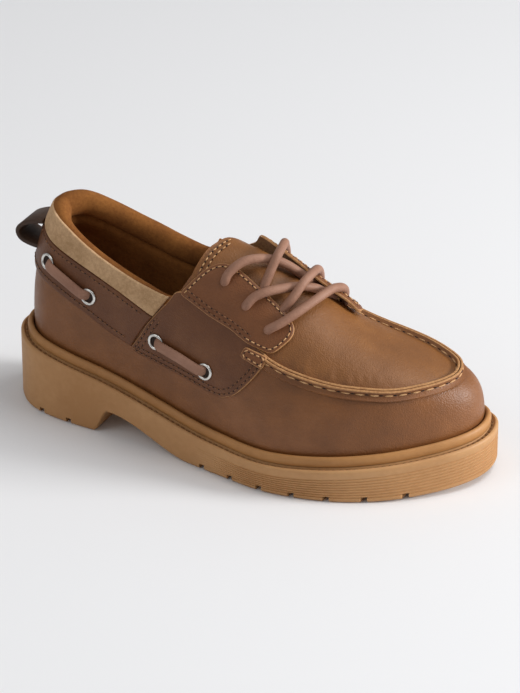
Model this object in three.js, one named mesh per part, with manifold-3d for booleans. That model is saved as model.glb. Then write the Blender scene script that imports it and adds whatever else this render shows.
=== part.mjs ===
// A right boat shoe: chunky rubber sole, hollow leather upper, tongue, overlays and laces.
// Millimetres, +X to the toe, +Y to the wearer's left (medial side), +Z up.
import * as THREE from 'three';
import { mergeVertices } from 'three/addons/utils/BufferGeometryUtils.js';
import Module from 'manifold-3d';

const wasm = await Module();
wasm.setup();

// Sole
const shoeLength = 242;
const ballWidth = 92;
const heelWidth = 60;
const heelSeat = 36.5;
const foreSeat = 14.6;
const toeThickening = 5;
const toeSpring = 3.5;
const heelBlock = 12.5;
const heelReach = 53.5;
const breastLean = 7.5;
const archEnd = 108;
const edgeBevel = 1.6;
const smoothBand = 4;
const topRound = 1.4;
const wallStep = 0.2;
const ribDepth = 0.6;
const ribCount = 3;
const seamGroove = 1.2;
const grooveSlope = 0.6;
const treadWidth = 3;
const treadDepth = 3;
const treadPitch = 16.4;
const heelTreadStart = 22.5;
const foreTreadStart = 117;

// Welt and footbed
const weltInset = 3.4;
const weltHeight = 5.2;
const featherInset = 7;
const insoleThickness = 3;

// Upper
const wallThickness = 2;
const heelCrown = 130;
const instepHeight = 99;
const toeBoxHeight = 63;
const collarHeight = 104.5;
const collarDip = 82.3;
const collarTilt = 0.11;
const sideReach = 8;
const stayReach = 5;
const throatFloor = 55;
const overlayThickness = 1.3;
const seamHeight = 1.8;
const seamWidth = 3.2;
const rollThickness = 5.2;
const rollHeight = 11;
const rollRise = 1.6;
const medialStretch = 1.26;
const edgeLift = 4.5;
const loopWidth = 15;
const loopThickness = 1.8;
const eyeletRadius = 4.4;
const eyeletHole = 2.9;
const eyeletThickness = 1.2;
const laceRadius = 2.3;

// Clearance between neighbouring pieces
const gap = 0.3;

// Stations along the shoe, from the heel tip to the toe tip
const stationCount = 30;
const hoopCount = 9;

const { sin, cos, min, max, PI } = Math;
const leather = { color: 0x8a5a3c, roughness: 0.62, metalness: 0 };
const darkLeather = { color: 0x70473a, roughness: 0.64, metalness: 0 };
const cordLeather = { color: 0x7d5a50, roughness: 0.7, metalness: 0 };
const gumRubber = { color: 0xb07f4c, roughness: 0.6, metalness: 0 };
const tanCloth = { color: 0xa38f6e, roughness: 0.9, metalness: 0 };
const lining = { color: 0xb07a42, roughness: 0.85, metalness: 0 };
const nickel = { color: 0xd8d6d2, roughness: 0.22, metalness: 1 };

// Smooth value of one column of a table between its rows
function valueAt(rows, column, at) {
  const last = rows.length - 1;
  const place = min(max(at, rows[0].at), rows[last].at);
  let row = 0;
  while (row < last - 1 && place > rows[row + 1].at) row += 1;
  const slope = (index) => {
    const before = rows[max(index - 1, 0)];
    const after = rows[min(index + 1, last)];
    return (after[column] - before[column]) / (after.at - before.at);
  };
  const span = rows[row + 1].at - rows[row].at;
  const u = (place - rows[row].at) / span;
  const start = rows[row][column];
  const end = rows[row + 1][column];
  return start * (1 + 2 * u) * (1 - u) ** 2 + end * u * u * (3 - 2 * u)
    + span * (slope(row) * u * (1 - u) ** 2 - slope(row + 1) * u * u * (1 - u));
}

function ease(low, high, value) {
  const u = min(max((value - low) / (high - low), 0), 1);
  return u * u * (3 - 2 * u);
}

// Outline of the sole's edge: turn runs from 0 at the heel tip to 180 at the toe tip
const widths = { heel: heelWidth, ball: ballWidth };
const outline = [
  { turn: 0, of: 'heel', lateral: 0, medial: 0 },
  { turn: 15, of: 'heel', lateral: 0.21, medial: 0.21 },
  { turn: 30, of: 'heel', lateral: 0.395, medial: 0.395 },
  { turn: 45, of: 'heel', lateral: 0.478, medial: 0.478 },
  { turn: 60, of: 'heel', lateral: 0.505, medial: 0.487 },
  { turn: 75, of: 'ball', lateral: 0.362, medial: 0.311 },
  { turn: 90, of: 'ball', lateral: 0.428, medial: 0.353 },
  { turn: 105, of: 'ball', lateral: 0.477, medial: 0.471 },
  { turn: 120, of: 'ball', lateral: 0.424, medial: 0.533 },
  { turn: 135, of: 'ball', lateral: 0.297, medial: 0.53 },
  { turn: 150, of: 'ball', lateral: 0.125, medial: 0.475 },
  { turn: 165, of: 'ball', lateral: -0.045, medial: 0.378 },
  { turn: 180, of: 'ball', lateral: -0.21, medial: 0.21 },
].map((row) => ({
  at: row.turn,
  lateral: -row.lateral * widths[row.of],
  medial: row.medial * widths[row.of],
}));

// Height of the sole's top edge: heel and toe are shares of the heel seat's and the toe's rise
const topEdge = [
  { at: 0, heel: 1, toe: 0 },
  { at: 0.12, heel: 0.82, toe: 0 },
  { at: 0.25, heel: 0.58, toe: 0 },
  { at: 0.42, heel: 0.16, toe: 0 },
  { at: 0.55, heel: 0.01, toe: 0 },
  { at: 0.65, heel: 0, toe: 0.02 },
  { at: 0.8, heel: 0, toe: 0.36 },
  { at: 1, heel: 0, toe: 1 },
];

function topHeight(x) {
  const at = x / shoeLength;
  return foreSeat + (heelSeat - foreSeat) * valueAt(topEdge, 'heel', at)
    + (toeThickening + toeSpring) * valueAt(topEdge, 'toe', at);
}

function bottomHeight(x) {
  const breast = ease(heelReach - 0.5, heelReach + breastLean, x);
  const arch = heelBlock * breast * (1 - ease(heelReach + breastLean, archEnd, x));
  const springStart = 0.76 * shoeLength;
  const spring = max(0, (x - springStart) / (shoeLength - springStart));
  return arch + toeSpring * spring ** 2;
}

// Point of the outline moved inwards, on side -1 (lateral) or 1 (medial)
function edgePoint(side, turn, inset) {
  const column = side < 0 ? 'lateral' : 'medial';
  const plain = (angle) => new THREE.Vector2(
    shoeLength * (1 - cos(angle * PI / 180)) / 2,
    valueAt(outline, column, angle),
  );
  const step = 1.5;
  const here = plain(turn);
  if (turn <= 0) return new THREE.Vector2(here.x + inset, here.y);
  if (turn >= 180) return new THREE.Vector2(here.x - inset, here.y);
  const run = plain(min(turn + step, 180)).sub(plain(max(turn - step, 0))).normalize();
  return new THREE.Vector2(here.x + side * run.y * inset, here.y - side * run.x * inset);
}

// Turn angles of the stations, with the heel's breast met exactly
function stationTurns() {
  const turns = [];
  for (let i = 0; i <= stationCount; i += 1) turns.push(180 * i / stationCount);
  const turnOf = (x) => Math.acos(1 - 2 * x / shoeLength) * 180 / PI;
  const breast = [heelReach - 0.5, heelReach + breastLean / 2, heelReach + breastLean + 0.5];
  const kept = turns.filter((turn) => breast.every((x) => Math.abs(turn - turnOf(x)) > 1.2));
  return [...kept, ...breast.map(turnOf)].sort((a, b) => a - b);
}
const turns = stationTurns();

// Closed solid from points and faces
function solidOf(points, faces) {
  const geometry = new THREE.BufferGeometry();
  geometry.setAttribute('position', new THREE.Float32BufferAttribute(points.flat(), 3));
  geometry.setIndex(faces.flat());
  const whole = mergeVertices(geometry, 1e-4);
  const used = [];
  const index = whole.index.array;
  for (let i = 0; i < index.length; i += 3) {
    const [a, b, c] = [index[i], index[i + 1], index[i + 2]];
    if (a !== b && b !== c && c !== a) used.push(a, b, c);
  }
  return new wasm.Manifold(new wasm.Mesh({
    numProp: 3,
    vertProperties: new Float32Array(whole.attributes.position.array),
    triVerts: new Uint32Array(used),
  }));
}

function solidOfGeometry(geometry) {
  const plain = geometry.clone();
  plain.deleteAttribute('normal');
  plain.deleteAttribute('uv');
  const merged = mergeVertices(plain, 1e-4);
  return new wasm.Manifold(new wasm.Mesh({
    numProp: 3,
    vertProperties: new Float32Array(merged.attributes.position.array),
    triVerts: new Uint32Array(merged.index.array),
  }));
}

function meshOf(name, solid, finish) {
  const { vertProperties, triVerts } = solid.getMesh();
  const geometry = new THREE.BufferGeometry();
  geometry.setAttribute('position', new THREE.BufferAttribute(new Float32Array(vertProperties), 3));
  geometry.setIndex(new THREE.BufferAttribute(new Uint32Array(triVerts), 1));
  const mesh = new THREE.Mesh(geometry, new THREE.MeshStandardMaterial(finish));
  mesh.name = name;
  return mesh;
}

// Solid with rings of points that follow the outline, one ring for each row of its profile.
// The first and last rings are closed with strips from side to side.
function plateOf(profile) {
  const points = [];
  const faces = [];
  const last = turns.length - 1;
  const index = (ring, side, station) => (ring * 2 + (side > 0 ? 1 : 0)) * turns.length + station;
  for (const row of profile) {
    for (const side of [-1, 1]) {
      for (const turn of turns) {
        const nominal = edgePoint(side, turn, 0);
        const place = edgePoint(side, turn, row.inset(nominal.x));
        points.push([place.x, place.y, row.height(place.x)]);
      }
    }
  }
  const quad = (a, b, c, d, flip) => (flip
    ? faces.push([a, c, b], [a, d, c]) : faces.push([a, b, c], [a, c, d]));
  for (let station = 0; station < last; station += 1) {
    for (let ring = 0; ring < profile.length - 1; ring += 1) {
      for (const side of [-1, 1]) {
        quad(index(ring, side, station), index(ring, side, station + 1),
          index(ring + 1, side, station + 1), index(ring + 1, side, station), side > 0);
      }
    }
    const top = profile.length - 1;
    quad(index(0, -1, station), index(0, 1, station),
      index(0, 1, station + 1), index(0, -1, station + 1), false);
    quad(index(top, -1, station), index(top, 1, station),
      index(top, 1, station + 1), index(top, -1, station + 1), true);
  }
  return solidOf(points, faces);
}

// Ring of one closed profile that follows the outline
function ringOf(profile) {
  const points = [];
  const faces = [];
  const loop = [];
  turns.forEach((turn) => loop.push([-1, turn]));
  turns.slice(1, -1).reverse().forEach((turn) => loop.push([1, turn]));
  for (const [side, turn] of loop) {
    for (const row of profile) {
      const place = edgePoint(side, turn, row.inset);
      points.push([place.x, place.y, topHeight(edgePoint(side, turn, weltInset).x) + row.up]);
    }
  }
  const count = profile.length;
  loop.forEach((_, i) => {
    const next = (i + 1) % loop.length;
    for (let k = 0; k < count; k += 1) {
      const j = (k + 1) % count;
      const [a, b, c, d] = [i * count + k, next * count + k, next * count + j, i * count + j];
      faces.push([a, b, c], [a, c, d]);
    }
  });
  return solidOf(points, faces);
}

function box(x0, x1, y0, y1, z0, z1) {
  const geometry = new THREE.BoxGeometry(x1 - x0, y1 - y0, z1 - z0);
  geometry.translate((x0 + x1) / 2, (y0 + y1) / 2, (z0 + z1) / 2);
  return solidOfGeometry(geometry);
}

// Sole: bevelled foot, ribbed side round the forefoot, rounded top edge and seam groove
function makeSole() {
  const foreOnly = (x) => ease(0.42 * shoeLength, 0.56 * shoeLength, x);
  const steady = (inset) => () => inset;
  const between = (share) => (x) => {
    const low = bottomHeight(x) + edgeBevel;
    return low + (topHeight(x) - smoothBand - edgeBevel / 3 - low) * share;
  };
  const profile = [
    { inset: steady(edgeBevel), height: bottomHeight },
    { inset: steady(wallStep), height: (x) => bottomHeight(x) + edgeBevel },
  ];
  for (let rib = 0; rib < ribCount; rib += 1) {
    const low = (rib + 0.72) / ribCount;
    const high = (rib + 0.9) / ribCount;
    profile.push({ inset: steady(0), height: between(low) });
    profile.push({ inset: (x) => ribDepth * foreOnly(x), height: between(high) });
  }
  profile.push(
    { inset: steady(0), height: (x) => topHeight(x) - smoothBand },
    { inset: steady(wallStep), height: (x) => topHeight(x) - topRound },
    { inset: steady(topRound), height: topHeight },
    { inset: steady(topRound + grooveSlope), height: (x) => topHeight(x) - seamGroove },
    { inset: steady(weltInset - grooveSlope), height: (x) => topHeight(x) - seamGroove },
    { inset: steady(weltInset), height: topHeight },
  );
  let sole = plateOf(profile);
  const half = treadWidth / 2;
  const cutAt = (x) => sole.subtract(
    box(x - half, x + half, -ballWidth, ballWidth, -5, bottomHeight(x) + treadDepth));
  for (let x = heelTreadStart; x < heelReach - treadWidth * 2; x += treadPitch) sole = cutAt(x);
  for (let x = foreTreadStart; x < 0.95 * shoeLength; x += treadPitch) sole = cutAt(x);
  return sole;
}

// Welt: rounded bead round the upper's foot
const weltProfile = [
  { inset: weltInset + 0.5, up: gap },
  { inset: weltInset + 0.1, up: 0.5 * weltHeight },
  { inset: weltInset + 1.5, up: weltHeight },
  { inset: featherInset - 1, up: 0.94 * weltHeight },
  { inset: featherInset - 0.6, up: 0.6 * weltHeight },
  { inset: featherInset - 0.5, up: gap },
];

function makeInsole() {
  const inset = () => featherInset + wallThickness + 1.2;
  return plateOf([
    { inset, height: (x) => topHeight(x) + gap },
    { inset, height: (x) => topHeight(x) + gap + insoleThickness },
  ]);
}

// The last: from the feather line at the upper's foot up to a spine along the top.
// spine is where a station's hoop meets the spine, ridge its place across,
// crown shares its height between the heel's, the instep's and the toe's.
const spineTable = [
  { at: 0, spine: 0.17 },
  { at: 0.12, spine: 0.2 },
  { at: 0.3, spine: 0.33 },
  { at: 0.5, spine: 0.52 },
  { at: 0.7, spine: 0.69 },
  { at: 0.85, spine: 0.765 },
  { at: 1, spine: 0.8 },
];
const ridgeTable = [
  { at: 0.15, across: 0.0, heel: 1, instep: 0, toe: 0 },
  { at: 0.3, across: 0.01, heel: 0.72, instep: 0.31, toe: 0 },
  { at: 0.42, across: 0.025, heel: 0.05, instep: 1.0, toe: 0 },
  { at: 0.53, across: 0.04, heel: 0, instep: 1, toe: 0 },
  { at: 0.63, across: 0.055, heel: 0, instep: 0.6, toe: 0.39 },
  { at: 0.72, across: 0.075, heel: 0, instep: 0.18, toe: 0.84 },
  { at: 0.8, across: 0.1, heel: 0, instep: 0, toe: 1.0 },
];
// Handles of each hoop's curve: lift and reach are shares of its height and half width,
// bulge is a share of the ball width
const lateralHoops = [
  { at: 0, lift: 0.62, reach: 0.25, bulge: 0.03 },
  { at: 0.15, lift: 0.7, reach: 0.3, bulge: 0.045 },
  { at: 0.35, lift: 0.85, reach: 0.5, bulge: 0.06 },
  { at: 0.52, lift: 0.72, reach: 0.35, bulge: 0.05 },
  { at: 0.65, lift: 0.62, reach: 0.5, bulge: 0.03 },
  { at: 0.82, lift: 0.75, reach: 0.7, bulge: 0.02 },
  { at: 1, lift: 0.78, reach: 0.7, bulge: 0.025 },
];
const medialHoops = [
  { at: 0, lift: 0.62, reach: 0.25, bulge: 0.03 },
  { at: 0.15, lift: 0.7, reach: 0.3, bulge: 0.045 },
  { at: 0.35, lift: 0.85, reach: 0.5, bulge: 0.03 },
  { at: 0.52, lift: 0.8, reach: 0.4, bulge: 0.02 },
  { at: 0.65, lift: 0.7, reach: 0.5, bulge: 0.02 },
  { at: 0.82, lift: 0.74, reach: 0.6, bulge: 0.02 },
  { at: 1, lift: 0.78, reach: 0.7, bulge: 0.025 },
];

function spinePoint(along) {
  const at = valueAt(spineTable, 'spine', along);
  const height = heelCrown * valueAt(ridgeTable, 'heel', at)
    + instepHeight * valueAt(ridgeTable, 'instep', at)
    + toeBoxHeight * valueAt(ridgeTable, 'toe', at);
  return new THREE.Vector3(
    shoeLength * at, ballWidth * valueAt(ridgeTable, 'across', at), height);
}

// Slope of the spine along the shoe
function spineSlope(along) {
  const step = 0.01;
  const ahead = spinePoint(min(along + step, 1));
  const behind = spinePoint(max(along - step, 0));
  return (ahead.z - behind.z) / (ahead.x - behind.x);
}

// Point of the last on one side, at a turn of the outline and a share t of its hoop
function lastPoint(side, turn, t) {
  const along = (1 - cos(turn * PI / 180)) / 2;
  const foot = edgePoint(side, turn, featherInset);
  const low = new THREE.Vector3(foot.x, foot.y, topHeight(foot.x) + gap);
  const high = spinePoint(along);
  const hoops = side < 0 ? lateralHoops : medialHoops;
  const rise = (high.z - low.z) * valueAt(hoops, 'lift', along);
  const bulge = ballWidth * valueAt(hoops, 'bulge', along);
  const reach = valueAt(hoops, 'reach', along);
  const out = edgePoint(side, turn, 0).sub(edgePoint(side, turn, featherInset)).normalize();
  const wall = new THREE.Vector3(low.x + out.x * bulge, low.y + out.y * bulge, low.z + rise);
  const roof = new THREE.Vector3().lerpVectors(high, low, reach);
  roof.z = high.z + spineSlope(along) * (roof.x - high.x);
  return new THREE.CubicBezierCurve3(low, wall, roof, high).getPoint(t);
}

// Grid of the last: hoops from the lateral foot over the spine to the medial foot
function lastGrid() {
  const points = [];
  for (const turn of turns) {
    for (let k = -hoopCount; k <= hoopCount; k += 1) {
      points.push(lastPoint(k < 0 ? -1 : 1, turn, 1 - Math.abs(k) / hoopCount));
    }
  }
  return points;
}

const hoopSize = 2 * hoopCount + 1;
const lastPoints = lastGrid();

// Outward normals of the grid, with the folded end hoops and the spine kept whole
function lastNormals() {
  const normals = [];
  const at = (station, k) => lastPoints[station * hoopSize + k];
  turns.forEach((_, station) => {
    for (let k = 0; k < hoopSize; k += 1) {
      const end = station === 0 || station === turns.length - 1;
      const inner = station === 0 ? 1 : turns.length - 2;
      const mirror = hoopSize - 1 - k;
      const before = end ? at(inner, min(k, mirror)) : at(station - 1, k);
      const after = end ? at(inner, max(k, mirror)) : at(station + 1, k);
      const low = at(station, max(k - 1, 0));
      const high = at(station, min(k + 1, hoopSize - 1));
      const along = new THREE.Vector3().subVectors(after, before);
      let across = new THREE.Vector3().subVectors(high, low);
      if (end) {
        const half = min(k, mirror);
        across = new THREE.Vector3().subVectors(
          at(station, min(half + 1, hoopCount)), at(station, max(half - 1, 0)));
        if (half === hoopCount) {
          normals.push(new THREE.Vector3(0, 0, 1));
          continue;
        }
      }
      const normal = new THREE.Vector3().crossVectors(along, across).normalize();
      const centre = new THREE.Vector3(shoeLength / 2, 0, 30);
      const outwards = new THREE.Vector3().subVectors(at(station, k), centre);
      if (end && normal.dot(outwards) < 0) normal.negate();
      normals.push(normal);
    }
  });
  return normals;
}
const normals = lastNormals();

// Hollow skin of the last between two offsets from its surface
function skin(inner, outer, lifted = () => 0) {
  const points = [];
  const faces = [];
  const layer = turns.length * hoopSize;
  for (const offset of [outer, inner]) {
    lastPoints.forEach((point, i) => {
      const moved = point.clone().addScaledVector(normals[i], offset + lifted(point));
      points.push([moved.x, moved.y, moved.z]);
    });
  }
  for (let station = 0; station < turns.length - 1; station += 1) {
    const a = station * hoopSize;
    const b = a + hoopSize;
    for (let k = 0; k < hoopSize - 1; k += 1) {
      const corners = [a + k, b + k, b + k + 1, a + k + 1];
      faces.push([corners[0], corners[1], corners[2]], [corners[0], corners[2], corners[3]]);
      const [p, q, r, s] = corners.map((corner) => corner + layer);
      faces.push([p, r, q], [p, s, r]);
    }
    for (const [k, flip] of [[0, false], [hoopSize - 1, true]]) {
      const [p, q, r, s] = [a + k, b + k, b + k + layer, a + k + layer];
      if (flip) faces.push([p, q, r], [p, r, s]);
      else faces.push([p, r, q], [p, s, r]);
    }
  }
  return solidOf(points, faces);
}

// Prism of a side view outline, from one place across to another, tilted with the collar
function sidePrism(outlinePoints, y0, y1, tilt) {
  const shape = new THREE.Shape(outlinePoints.map(([x, z]) => new THREE.Vector2(x, z)));
  const geometry = new THREE.ExtrudeGeometry(shape, { depth: y1 - y0, bevelEnabled: false });
  geometry.rotateX(PI / 2);
  geometry.translate(0, y1, 0);
  const position = geometry.attributes.position;
  for (let i = 0; i < position.count; i += 1) {
    position.setZ(i, position.getZ(i) + tilt * position.getY(i));
  }
  return solidOfGeometry(geometry);
}

// Topline in side view, from behind the heel to over the tongue: along is a share of the
// shoe's length, height a share of the rise from the collar's dip to its top at the heel
const topline = [
  { along: -0.05, height: 1 },
  { along: 0.09, height: 1 },
  { along: 0.128, height: 0.907 },
  { along: 0.151, height: 0.79 },
  { along: 0.193, height: 0.6 },
  { along: 0.231, height: 0.44 },
  { along: 0.271, height: 0.31 },
  { along: 0.309, height: 0.19 },
  { along: 0.345, height: 0.1 },
  { along: 0.38, height: 0.01 },
  { along: 0.4, height: 0.02 },
  { along: 0.412, height: 0.176 },
  { along: 0.42, height: 0.555 },
  { along: 0.427, height: 0.766 },
  { along: 0.433, height: 0.89 },
  { along: 0.442, height: 1.0 },
  { along: 0.45, height: 2.5 },
];

function toplineCutter(lift) {
  const rim = topline.map((row) => [
    row.along * shoeLength,
    collarDip + (collarHeight - collarDip) * row.height + lift,
  ]);
  const first = topline[0].along * shoeLength;
  const last = topline[topline.length - 1].along * shoeLength;
  const top = 3 * instepHeight;
  return sidePrism([...rim, [last, top], [first, top]], -ballWidth, ballWidth, collarTilt);
}

// Outlines of the overlays in side view: along is a share of the shoe's length,
// up a share of the instep's height
const eyestayOutline = [
  { along: 0.405, up: 0.865 },
  { along: 0.432, up: 0.94 },
  { along: 0.45, up: 0.978 },
  { along: 0.471, up: 0.993 },
  { along: 0.5, up: 0.982 },
  { along: 0.526, up: 0.953 },
  { along: 0.563, up: 0.901 },
  { along: 0.6, up: 0.843 },
  { along: 0.623, up: 0.803 },
  { along: 0.64, up: 0.77 },
  { along: 0.643, up: 0.742 },
  { along: 0.629, up: 0.71 },
  { along: 0.613, up: 0.678 },
  { along: 0.56, up: 0.712 },
  { along: 0.523, up: 0.757 },
  { along: 0.469, up: 0.8 },
  { along: 0.435, up: 0.835 },
];
const saddleOutline = [
  { along: 0.302, up: 0.53 },
  { along: 0.312, up: 0.509 },
  { along: 0.35, up: 0.494 },
  { along: 0.427, up: 0.467 },
  { along: 0.493, up: 0.438 },
  { along: 0.519, up: 0.434 },
  { along: 0.548, up: 0.468 },
  { along: 0.568, up: 0.518 },
  { along: 0.586, up: 0.573 },
  { along: 0.611, up: 0.662 },
  { along: 0.56, up: 0.7 },
  { along: 0.523, up: 0.746 },
  { along: 0.469, up: 0.789 },
  { along: 0.435, up: 0.824 },
  { along: 0.405, up: 0.852 },
  { along: 0.39, up: 0.88 },
  { along: 0.386, up: 0.825 },
  { along: 0.354, up: 0.73 },
  { along: 0.34, up: 0.683 },
  { along: 0.325, up: 0.613 },
];
const stripOutline = [
  { along: -0.05, up: 0.966 },
  { along: 0.076, up: 0.948 },
  { along: 0.114, up: 0.918 },
  { along: 0.157, up: 0.89 },
  { along: 0.197, up: 0.862 },
  { along: 0.235, up: 0.83 },
  { along: 0.273, up: 0.8 },
  { along: 0.311, up: 0.763 },
  { along: 0.348, up: 0.725 },
  { along: 0.335, up: 0.683 },
  { along: 0.32, up: 0.613 },
  { along: 0.299, up: 0.535 },
  { along: 0.275, up: 0.552 },
  { along: 0.237, up: 0.585 },
  { along: 0.2, up: 0.633 },
  { along: 0.162, up: 0.671 },
  { along: 0.121, up: 0.705 },
  { along: 0.074, up: 0.736 },
  { along: -0.05, up: 0.75 },
];
const bandOutline = [
  { along: -0.05, up: 0.976 },
  { along: 0.076, up: 0.958 },
  { along: 0.114, up: 0.928 },
  { along: 0.157, up: 0.9 },
  { along: 0.197, up: 0.872 },
  { along: 0.235, up: 0.84 },
  { along: 0.273, up: 0.81 },
  { along: 0.311, up: 0.773 },
  { along: 0.351, up: 0.736 },
  { along: 0.382, up: 0.827 },
  { along: 0.386, up: 1.2 },
  { along: -0.05, up: 1.2 },
];
const tabOutline = [
  { along: 0.553, up: 0.655 },
  { along: 0.559, up: 0.7 },
  { along: 0.608, up: 0.668 },
  { along: 0.602, up: 0.615 },
];
// The throat in plan: along and across are shares of the shoe's length and the ball's width
const throatMiddle = 0.03;
const throatOutline = [
  { along: 0.41, across: -0.2 },
  { along: 0.44, across: -0.24 },
  { along: 0.58, across: -0.24 },
  { along: 0.64, across: -0.17 },
  { along: 0.665, across: -0.06 },
  { along: 0.68, across: 0.08 },
  { along: 0.675, across: 0.2 },
  { along: 0.645, across: 0.27 },
  { along: 0.58, across: 0.29 },
  { along: 0.44, across: 0.29 },
  { along: 0.41, across: 0.25 },
];

// The medial side reaches further forwards, because the toe turns that way
function placedOutline(rows, side) {
  const pivot = 0.4;
  return rows.map((row) => {
    const stretch = side > 0 && row.along > pivot ? medialStretch : 1;
    return [
      (pivot + (row.along - pivot) * stretch) * shoeLength,
      row.up * instepHeight,
    ];
  });
}

function sideOverlay(layer, rows, side, y0, y1) {
  const [low, high] = side > 0 ? [y0, y1] : [-y1, -y0];
  return layer.intersect(sidePrism(placedOutline(rows, side), low, high, collarTilt));
}

function throatPrism(margin) {
  const shape = new THREE.Shape(throatOutline.map((row) => {
    const side = Math.sign(row.across - throatMiddle);
    const ahead = row.along > 0.5 ? margin : 0;
    return new THREE.Vector2(
      row.along * shoeLength + ahead, row.across * ballWidth + side * margin);
  }));
  const geometry = new THREE.ExtrudeGeometry(shape, { depth: 2 * instepHeight, bevelEnabled: false });
  geometry.translate(0, 0, throatFloor);
  return solidOfGeometry(geometry);
}

// Raised seam round the apron: turn and share t of the hoop where it runs, on each side
const seamLine = [
  { at: 102, lateral: 0.413, medial: 0.53 },
  { at: 114, lateral: 0.436, medial: 0.57 },
  { at: 128, lateral: 0.442, medial: 0.585 },
  { at: 139, lateral: 0.449, medial: 0.59 },
  { at: 151, lateral: 0.486, medial: 0.59 },
  { at: 165, lateral: 0.525, medial: 0.565 },
  { at: 180, lateral: 0.545, medial: 0.545 },
];

function surfaceNormal(side, turn, t) {
  const step = 0.6;
  const rise = 0.01;
  const whole = (angle) => (angle > 180 ? [-side, 360 - angle] : [side, angle]);
  const ahead = lastPoint(...whole(turn + step), t);
  const behind = lastPoint(...whole(Math.abs(turn - step)), t);
  const above = lastPoint(side, turn, min(t + rise, 1));
  const below = lastPoint(side, turn, max(t - rise, 0));
  const normal = new THREE.Vector3().crossVectors(ahead.sub(behind), above.sub(below));
  return normal.multiplyScalar(side < 0 ? 1 : -1).normalize();
}

// Bar of a closed section, swept along places on the last; each place has a point,
// an outward normal and the direction of travel
function sweep(places, section) {
  const points = [];
  const faces = [];
  const count = section.length;
  for (const { point, normal, travel } of places) {
    const across = new THREE.Vector3().crossVectors(normal, travel).normalize();
    for (const [u, v] of section) {
      const corner = point.clone().addScaledVector(across, u).addScaledVector(normal, v);
      points.push([corner.x, corner.y, corner.z]);
    }
  }
  for (let i = 0; i < places.length - 1; i += 1) {
    for (let k = 0; k < count; k += 1) {
      const j = (k + 1) % count;
      const [a, b, c, d] = [i * count + k, i * count + j, (i + 1) * count + j, (i + 1) * count + k];
      faces.push([a, b, c], [a, c, d]);
    }
  }
  const end = (places.length - 1) * count;
  for (let k = 1; k < count - 1; k += 1) {
    faces.push([0, k + 1, k], [end, end + k, end + k + 1]);
  }
  return solidOf(points, faces);
}

function withTravel(places) {
  return places.map((place, i) => {
    const ahead = places[min(i + 1, places.length - 1)].point;
    const behind = places[max(i - 1, 0)].point;
    return { ...place, travel: new THREE.Vector3().subVectors(ahead, behind).normalize() };
  });
}

function roundSection(radius, count) {
  const section = [];
  for (let i = 0; i < count; i += 1) {
    const angle = 2 * PI * i / count;
    section.push([radius * cos(angle), radius * sin(angle)]);
  }
  return section;
}

// Turns where the raised seam starts and ends, and its step
const seamReach = { lateral: 105, medial: 116, step: 4.5 };

function makeSeam() {
  const stops = [];
  for (let turn = seamReach.lateral; turn < 180; turn += seamReach.step) stops.push([-1, turn]);
  for (let turn = 180; turn > seamReach.medial; turn -= seamReach.step) stops.push([1, turn]);
  const places = stops.map(([side, turn]) => {
    const t = valueAt(seamLine, side < 0 ? 'lateral' : 'medial', turn);
    return { point: lastPoint(side, turn, t), normal: surfaceNormal(side, turn, t) };
  });
  const half = seamWidth / 2;
  const root = -wallThickness / 2;
  return sweep(withTravel(places), [
    [half, root], [0.7 * half, seamHeight], [-0.7 * half, seamHeight], [-half, root],
  ]);
}

// Height of the topline at a place along the shoe
function rimHeight(x) {
  const rows = topline.map((row) => ({ at: row.along, height: row.height }));
  const at = x / shoeLength;
  let row = 0;
  while (row < rows.length - 2 && at > rows[row + 1].at) row += 1;
  const share = (at - rows[row].at) / (rows[row + 1].at - rows[row].at);
  const height = rows[row].height + share * (rows[row + 1].height - rows[row].height);
  return collarDip + (collarHeight - collarDip) * height;
}

// Share of a hoop where it meets the topline
function rimShare(side, turn) {
  let low = 0;
  let high = 0.8;
  for (let i = 0; i < 24; i += 1) {
    const middle = (low + high) / 2;
    const point = lastPoint(side, turn, middle);
    if (point.z > rimHeight(point.x) + collarTilt * point.y) high = middle;
    else low = middle;
  }
  return (low + high) / 2;
}

// Padded roll round the inside of the collar, as far as this turn on both sides
const rollReach = { end: 76, step: 5 };

function makeRoll() {
  const stops = [];
  for (let turn = rollReach.end; turn > 0; turn -= rollReach.step) stops.push([-1, turn]);
  stops.push([1, 0]);
  for (let turn = rollReach.step; turn <= rollReach.end; turn += rollReach.step) {
    stops.push([1, turn]);
  }
  const places = stops.map(([side, turn]) => {
    const t = rimShare(side, turn);
    const normal = turn === 0 ? new THREE.Vector3(-1, 0, 0) : surfaceNormal(side, turn, t);
    normal.z = 0;
    normal.normalize();
    const inwards = wallThickness + 2 * gap + rollThickness / 2;
    const point = lastPoint(side, turn, t).addScaledVector(normal, -inwards);
    point.z += rollRise - rollHeight / 2;
    return { point, normal };
  });
  const section = roundSection(0.5, 7).map(([u, v]) => [u * rollHeight, v * rollThickness]);
  return sweep(withTravel(places), section);
}

// Pull loop at the back of the heel, seen from the side
function makeLoop(clearance) {
  const outer = [
    [0.065, 0.99], [0.04, 0.985], [0.012, 0.95], [0.002, 0.89], [0.006, 0.83],
    [0.022, 0.785], [0.05, 0.775],
  ];
  const side = outer.map(([along, up]) => new THREE.Vector2(along * shoeLength, up * instepHeight));
  const middle = new THREE.SplineCurve(side).getPoints(12);
  const inner = middle.map((point, i) => {
    const ahead = middle[min(i + 1, middle.length - 1)];
    const behind = middle[max(i - 1, 0)];
    const run = ahead.clone().sub(behind).normalize();
    return new THREE.Vector2(point.x - run.y * loopThickness, point.y + run.x * loopThickness);
  });
  const shape = new THREE.Shape([...middle, ...inner.reverse()]);
  const geometry = new THREE.ExtrudeGeometry(shape, { depth: loopWidth, bevelEnabled: false });
  geometry.rotateX(PI / 2);
  geometry.translate(0, loopWidth / 2, 0);
  return solidOfGeometry(geometry).subtract(clearance);
}

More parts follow.
